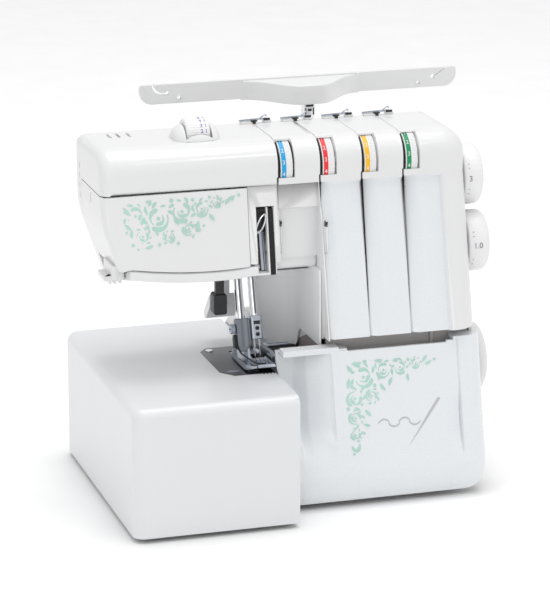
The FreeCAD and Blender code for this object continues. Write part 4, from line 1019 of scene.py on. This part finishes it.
def needle_plate():
    hero("needle_plate", soften(shape_of("needle_plate"), 0.25), DARK_STEEL, sharp=35)
    ring = [(-31 + 5.5 * math.cos(a), 78 + 2.6 * math.sin(a)) for a in map(math.radians, range(0, 360, 12))]
    trim("plate_mark", "needle_plate", bar(bmesh.new(), "z", PLATE_TOP, PLATE_TOP + 0.12, ring), STEEL)
    fingers = bmesh.new()
    outline = path([(61.5, PLATE_TOP - 1.4, 0.3), (92, PLATE_TOP - 1.4), (92, PLATE_TOP + 0.5, 0.3),
                    (64, PLATE_TOP + 0.4, 0.6)], 0.3)
    for x in (-10.2, -7.4, -4.6, -1.8):
        bar(fingers, "x", x, x + 0.9, outline)
    trim("stitch_fingers", "needle_plate", fingers, BLACKENED)


def threader():
    shape = block(bmesh.new(), (-37.5, -26.5), (110, 122), (144, 161), 2.2, "y")
    soften(shape, 1.2, 40, 3)
    neck = block(bmesh.new(), (-35.5, -28.5), (111.5, 117.5), (160, limits("needle_threader")[1].z), 1.2)
    hero("needle_threader", shape, BLACK)
    trim("threader_neck", "needle_threader", soften(neck, 0.4), BLACK)


def take_up():
    """The guard strip, the take-up guide and its chrome loop in the opening beside the face cover."""
    low, high = limits("thread_shield")
    strip = bmesh.new()
    bar(strip, "x", -3.4, 0.5, path([(low.y, low.z, 0.6), (low.y + 4, low.z, 0.6), (high.y, high.z, 0.6),
                                     (high.y - 3.8, high.z, 0.6)], 0.4))
    hero("thread_shield", soften(strip, 0.3), BLACK)
    edge = bmesh.new()
    for x0, x1 in ((-4.9, -3.7), (0.8, 1.6)):
        bar(edge, "x", x0, x1, [(low.y - 0.5, low.z + 0.4), (low.y + 4, low.z + 0.4), (high.y, high.z + 1),
                                (high.y - 4.3, high.z + 1)])
    trim("shield_edges", "thread_shield", soften(edge, 0.2), WHITE)
    rail = bmesh.new()
    bar(rail, "x", -9.6, -5.4, [(72.6, 189), (74.6, 189), (83.4, 222), (81.4, 222)])
    trim("take_up_rail", "thread_guides", soften(rail, 0.4, 40), STEEL)
    lines = bmesh.new()
    for x in (-9.9, -7.2):
        bar(lines, "x", x, x + 0.5, [(72.3, 189), (74.8, 189), (83.6, 222), (81.1, 222)])
    trim("take_up_lines", "thread_guides", lines, BLACKENED)
    route = smooth_line([(-12, 78, 219), (-12.6, 75, 224), (-9.8, 73.5, 231.5), (-6.6, 73.2, 234),
                         (-6, 75, 228), (-8.6, 76.4, 221), (-11.6, 77.6, 218.4)], 8)
    trim("take_up_loop", "thread_guides", tube(bmesh.new(), route, 0.75, flat=1.5), CHROME)
    outline = path([(77.2, 219), (86, 219), (86, 238.5, 1), (77.6, 238.5, 2)], 0.5)
    cap = bar(bmesh.new(), "x", -13.2, -5.6, outline)
    trim("take_up_cap", "thread_guides", soften(cap, 0.4), BLACK)


# ---------------------------------------------------------------- ornament

def leaf_width(way):
    return math.sin(math.pi * min(1, way * 1.02)) ** 0.8


def scroll_width(way):
    return 0.25 + 0.75 * ramp(way, 0.15, 0.7) * (1 - ramp(way, 0.9, 1.02))


def stamp(shape, place, outline, lift):
    """A flat raised patch of a print; place puts its own (a, b, out) on the surface."""
    under, upper = ([shape.verts.new(place(*p, out)) for p in outline] for out in (-0.05, lift))
    shape.faces.new(upper)
    shape.faces.new(under[::-1])
    for a in range(len(outline)):
        b = (a + 1) % len(outline)
        shape.faces.new((under[a], under[b], upper[b], upper[a]))


def curl(shape, place, start, heading, length, turn, width, profile, tighten, lift):
    """A raised print: a line that starts at a point, bends by turn degrees and swells by its profile.

    It is made of short closed pieces, and tighten bends its end more than its start.
    """
    count = 22
    point, angle = Vector(start), math.radians(heading)
    left, right = [], []
    for number in range(count + 1):
        way = number / count
        side = Vector((-math.sin(angle), math.cos(angle))) * max(0.06, width / 2 * profile(way))
        left.append(point + side)
        right.append(point - side)
        point = point + Vector((math.cos(angle), math.sin(angle))) * length / count
        angle += math.radians(turn) / count * (1 + tighten * (2 * way - 1))
    for low, high in zip(range(count), range(1, count + 1)):
        quad = [left[low], left[high], right[high], right[low]]
        stamp(shape, place, quad, lift)


def berry(shape, place, centre, radius, lift):
    stamp(shape, place, [Vector(centre) + Vector((math.cos(a), math.sin(a))) * radius
                         for a in map(math.radians, range(0, 360, 20))], lift)


def spray(name, node, place, rosettes, leaves, berries):
    """A printed garland of rosettes, with loose leaves and berries at its ends.

    A rosette is three swelling strokes round a berry, with leaves that fan out on one side. Each print lies
    a little higher than the one before it, so that crossings stay clean.
    """
    shape = bmesh.new()
    heights = (0.09 + 0.004 * number for number in range(200))
    for x, z, radius, phase, hand in rosettes:
        for size, begin, sweep in ((1, phase, 165), (0.8, phase + 150 * hand, 150), (0.5, phase + 20, 175)):
            angle = math.radians(begin)
            start = (x + size * radius * math.cos(angle), z + size * radius * math.sin(angle))
            curl(shape, place, start, begin + 90 * hand, math.radians(sweep) * radius * size, sweep * hand,
                 radius * (0.3 + 0.2 * size), scroll_width, 0.12, next(heights))
        berry(shape, place, (x, z), radius * 0.2, next(heights))
        for step in range(5):
            angle = phase - hand * (15 + 42 * step)
            reach = 1.22 * radius
            start = (x + reach * math.cos(math.radians(angle)), z + reach * math.sin(math.radians(angle)))
            length = radius * (0.85 if step % 2 == 0 else 0.6)
            curl(shape, place, start, angle + 48 * hand, length, 40 * hand, length * 0.42, leaf_width, 0,
                 next(heights))
    for x, z, heading, length, turn in leaves:
        curl(shape, place, (x, z), heading, length, turn, length * 0.36, leaf_width, 0, next(heights))
    for x, z, radius in berries:
        berry(shape, place, (x, z), radius, next(heights))
    trim(name, node, shape, MINT, level=False, sharp=60)


def ornaments():
    face_front, face_lean, face_bottom, face_height = 66.5, 10.5, 195, 68

    def on_face(x, z, out):
        return x, face_front + face_lean * (z - face_bottom) / face_height - out, z

    spray("face_garland", "face_cover", on_face, [
        (-110, 240, 6.2, 200, 1), (-92, 237, 7.4, 20, -1), (-73, 241, 6.4, 150, 1),
        (-57, 242, 4.8, 10, -1), (-105, 224, 4.4, 120, 1), (-84, 222, 3.6, 60, -1),
        (-68, 227, 4.2, 300, -1), (-44.5, 246, 3.2, 170, 1),
    ], [
        (-119, 247, 300, 8, 20), (-119, 234, 330, 7, -30), (-113, 230, 250, 7, 30), (-97, 217, 210, 7, -30),
        (-93, 224, 100, 6, 30), (-76, 231, 120, 6, 20), (-60, 233, 250, 8, 30), (-51, 238, 290, 7, 30),
        (-38, 244, 60, 7, -30), (-36, 248, 10, 6, 20), (-33, 246, 70, 5, -20), (-99, 247, 60, 5, 20),
    ], [
        (-101, 231, 1.6), (-113, 218, 1.4), (-109, 214.5, 1.0), (-92, 217, 1.3), (-77, 217, 1.2),
        (-81, 250, 1.5), (-64, 249.5, 1.2), (-60, 226, 1.3), (-56, 229, 0.9), (-50.5, 250.5, 1.0),
        (-27, 250.5, 1.1), (-117.5, 228, 1.0), (-100, 250.3, 1.2),
    ])

    def on_cover(x, z, out):
        return x, cover_y(x, z) - out, z

    spray("cover_garland", "looper_cover", on_cover, [
        (66, 103, 6.6, 200, 1), (83, 107, 5.0, 340, -1), (97, 108, 4.2, 170, 1), (110, 110, 3.2, 10, -1),
        (58, 87, 5.4, 90, 1), (72, 88, 4.0, 250, -1), (57.5, 72, 4.4, 280, -1), (57, 59, 3.4, 100, 1),
    ], [
        (53, 113, 300, 8, 20), (57, 114, 350, 8, 25), (54, 103, 270, 8, -25), (76, 115, 350, 7, 20),
        (91, 113.5, 20, 6, -30), (90, 101, 230, 7, 30), (103, 103, 260, 6, 30), (116, 111, 60, 6, -30),
        (118, 109, 10, 6, 25), (66, 78, 300, 7, 30), (64, 67, 330, 6, 30), (60, 52, 250, 6, 20),
        (53, 51, 290, 6, 30), (80, 97, 290, 7, 30),
    ], [
        (68, 114.5, 1.6), (56, 96.5, 1.1), (75, 96, 1.3), (90, 106.5, 0.9), (104, 113.5, 1.2),
        (52, 79.5, 1.3), (65, 94, 1.0), (64, 60, 1.0), (57, 47, 1.3), (54.5, 44.5, 0.9), (126, 112, 1.1),
        (79, 101, 0.9),
    ])

    def thread(way):
        return 0.7 + 0.3 * math.sin(math.pi * way)

    def needle(way):
        return min(1, (1 - way) * 1.4 + 0.05)

    mark = bmesh.new()
    for number in range(4):
        heading = 62 if number % 2 == 0 else -62
        curl(mark, on_cover, (76 + number * 8.6, 66), heading, 11.4, -2 * heading, 1.3, thread, 0,
             0.1 + number * 0.01)
    curl(mark, on_cover, (128, 82), 232, 44, 0, 2.2, needle, 0, 0.16)
    trim("needle_and_thread_mark", "looper_cover", mark, SOFT_GREY, level=False, sharp=60)


# ---------------------------------------------------------------- every other CAD piece

for build in (front_cover, face_cover, head_base, rear_cover, throat_wall, inner_apron, looper_cover,
              tension_dials, side_dials, pressure_dial, thread_bar, thread_guides, polished_bars, ankle,
              clamp, presser_foot, needle_plate, threader, take_up, ornaments):
    build()

CRAFTED = {"front_cover", "rear_cover", "face_cover", "head_base", "looper_cover", "stitch_length_dial",
           "differential_dial", "dial_housing", "pressure_dial", "thread_guide_bar", "thread_guides",
           "needle_bar", "presser_bar", "foot_ankle", "foot_screw", "needle_clamp", "needles", "presser_foot",
           "needle_plate", "needle_threader", "thread_shield",
           *(f"tension_dial_{number}" for number in (1, 2, 3, 4))}
WIDTHS = {"extension_table": 0.6, "rear_base_cover": 0.6, "spool_stand": 0.6}
FINISHES = {"extension_table": TABLE_WHITE}
EDGE_WIDTH = 0.25
for node in frame["nodes"]:
    if node not in CRAFTED:
        refine(node, WIDTHS.get(node, EDGE_WIDTH), FINISHES.get(node))


# ---------------------------------------------------------------- camera, light and floor

CAMERA_PLACE = (-0.6973, -2.2335, 0.8182)
CAMERA_FORWARD = (0.279, 0.919, -0.278)
FLOOR_REACH = 6
AMBIENT = 0.8
LIGHTS = (  # name, place, size in metres, watts, tint
    ("top", (0.1, 0.1, 2.6), 1.6, 25, (1, 1, 1)),
    ("key", (0.7, -0.9, 2.0), 1.0, 3, (1, 0.99, 0.98)),
    ("fill", (-0.8, -1.4, 0.36), 0.5, 1.5, (0.96, 0.98, 1)))
LIT_POINT = Vector((0, 0, 0.15))


def aim(item, forward):
    item.rotation_mode = "QUATERNION"
    item.rotation_quaternion = forward.to_track_quat("-Z", "Y")


def studio():
    scene = bpy.context.scene
    scene.view_settings.view_transform = "Standard"
    camera = bpy.data.objects.new("camera", bpy.data.cameras.new("camera"))
    scene.collection.objects.link(camera)
    camera.data.lens = 180
    camera.data.sensor_width = 36
    camera.data.clip_end = 20
    camera.location = CAMERA_PLACE
    aim(camera, Vector(CAMERA_FORWARD))
    scene.camera = camera

    floor_mesh = bpy.data.meshes.new("floor")
    corners = [(x * FLOOR_REACH, y * FLOOR_REACH, 0) for x, y in ((-1, -1), (1, -1), (1, 1), (-1, 1))]
    floor_mesh.from_pydata(corners, [], [(0, 1, 2, 3)])
    floor = bpy.data.objects.new("floor", floor_mesh)
    floor_mesh.materials.append(mottled("floor_paper", (0.97, 0.97, 0.97), 0.9, grain=200, relief=0.02))
    scene.collection.objects.link(floor)

    world = bpy.data.worlds.new("studio")
    scene.world = world
    world.use_nodes = True
    world.node_tree.nodes["Background"].inputs["Color"].default_value = (1, 1, 1, 1)
    world.node_tree.nodes["Background"].inputs["Strength"].default_value = AMBIENT
    for name, spot, size, power, tint in LIGHTS:
        light = bpy.data.objects.new(name, bpy.data.lights.new(name, "AREA"))
        light.data.size = size
        light.data.energy = power
        light.data.color = tint
        light.location = spot
        aim(light, LIT_POINT - Vector(spot))
        scene.collection.objects.link(light)


studio()
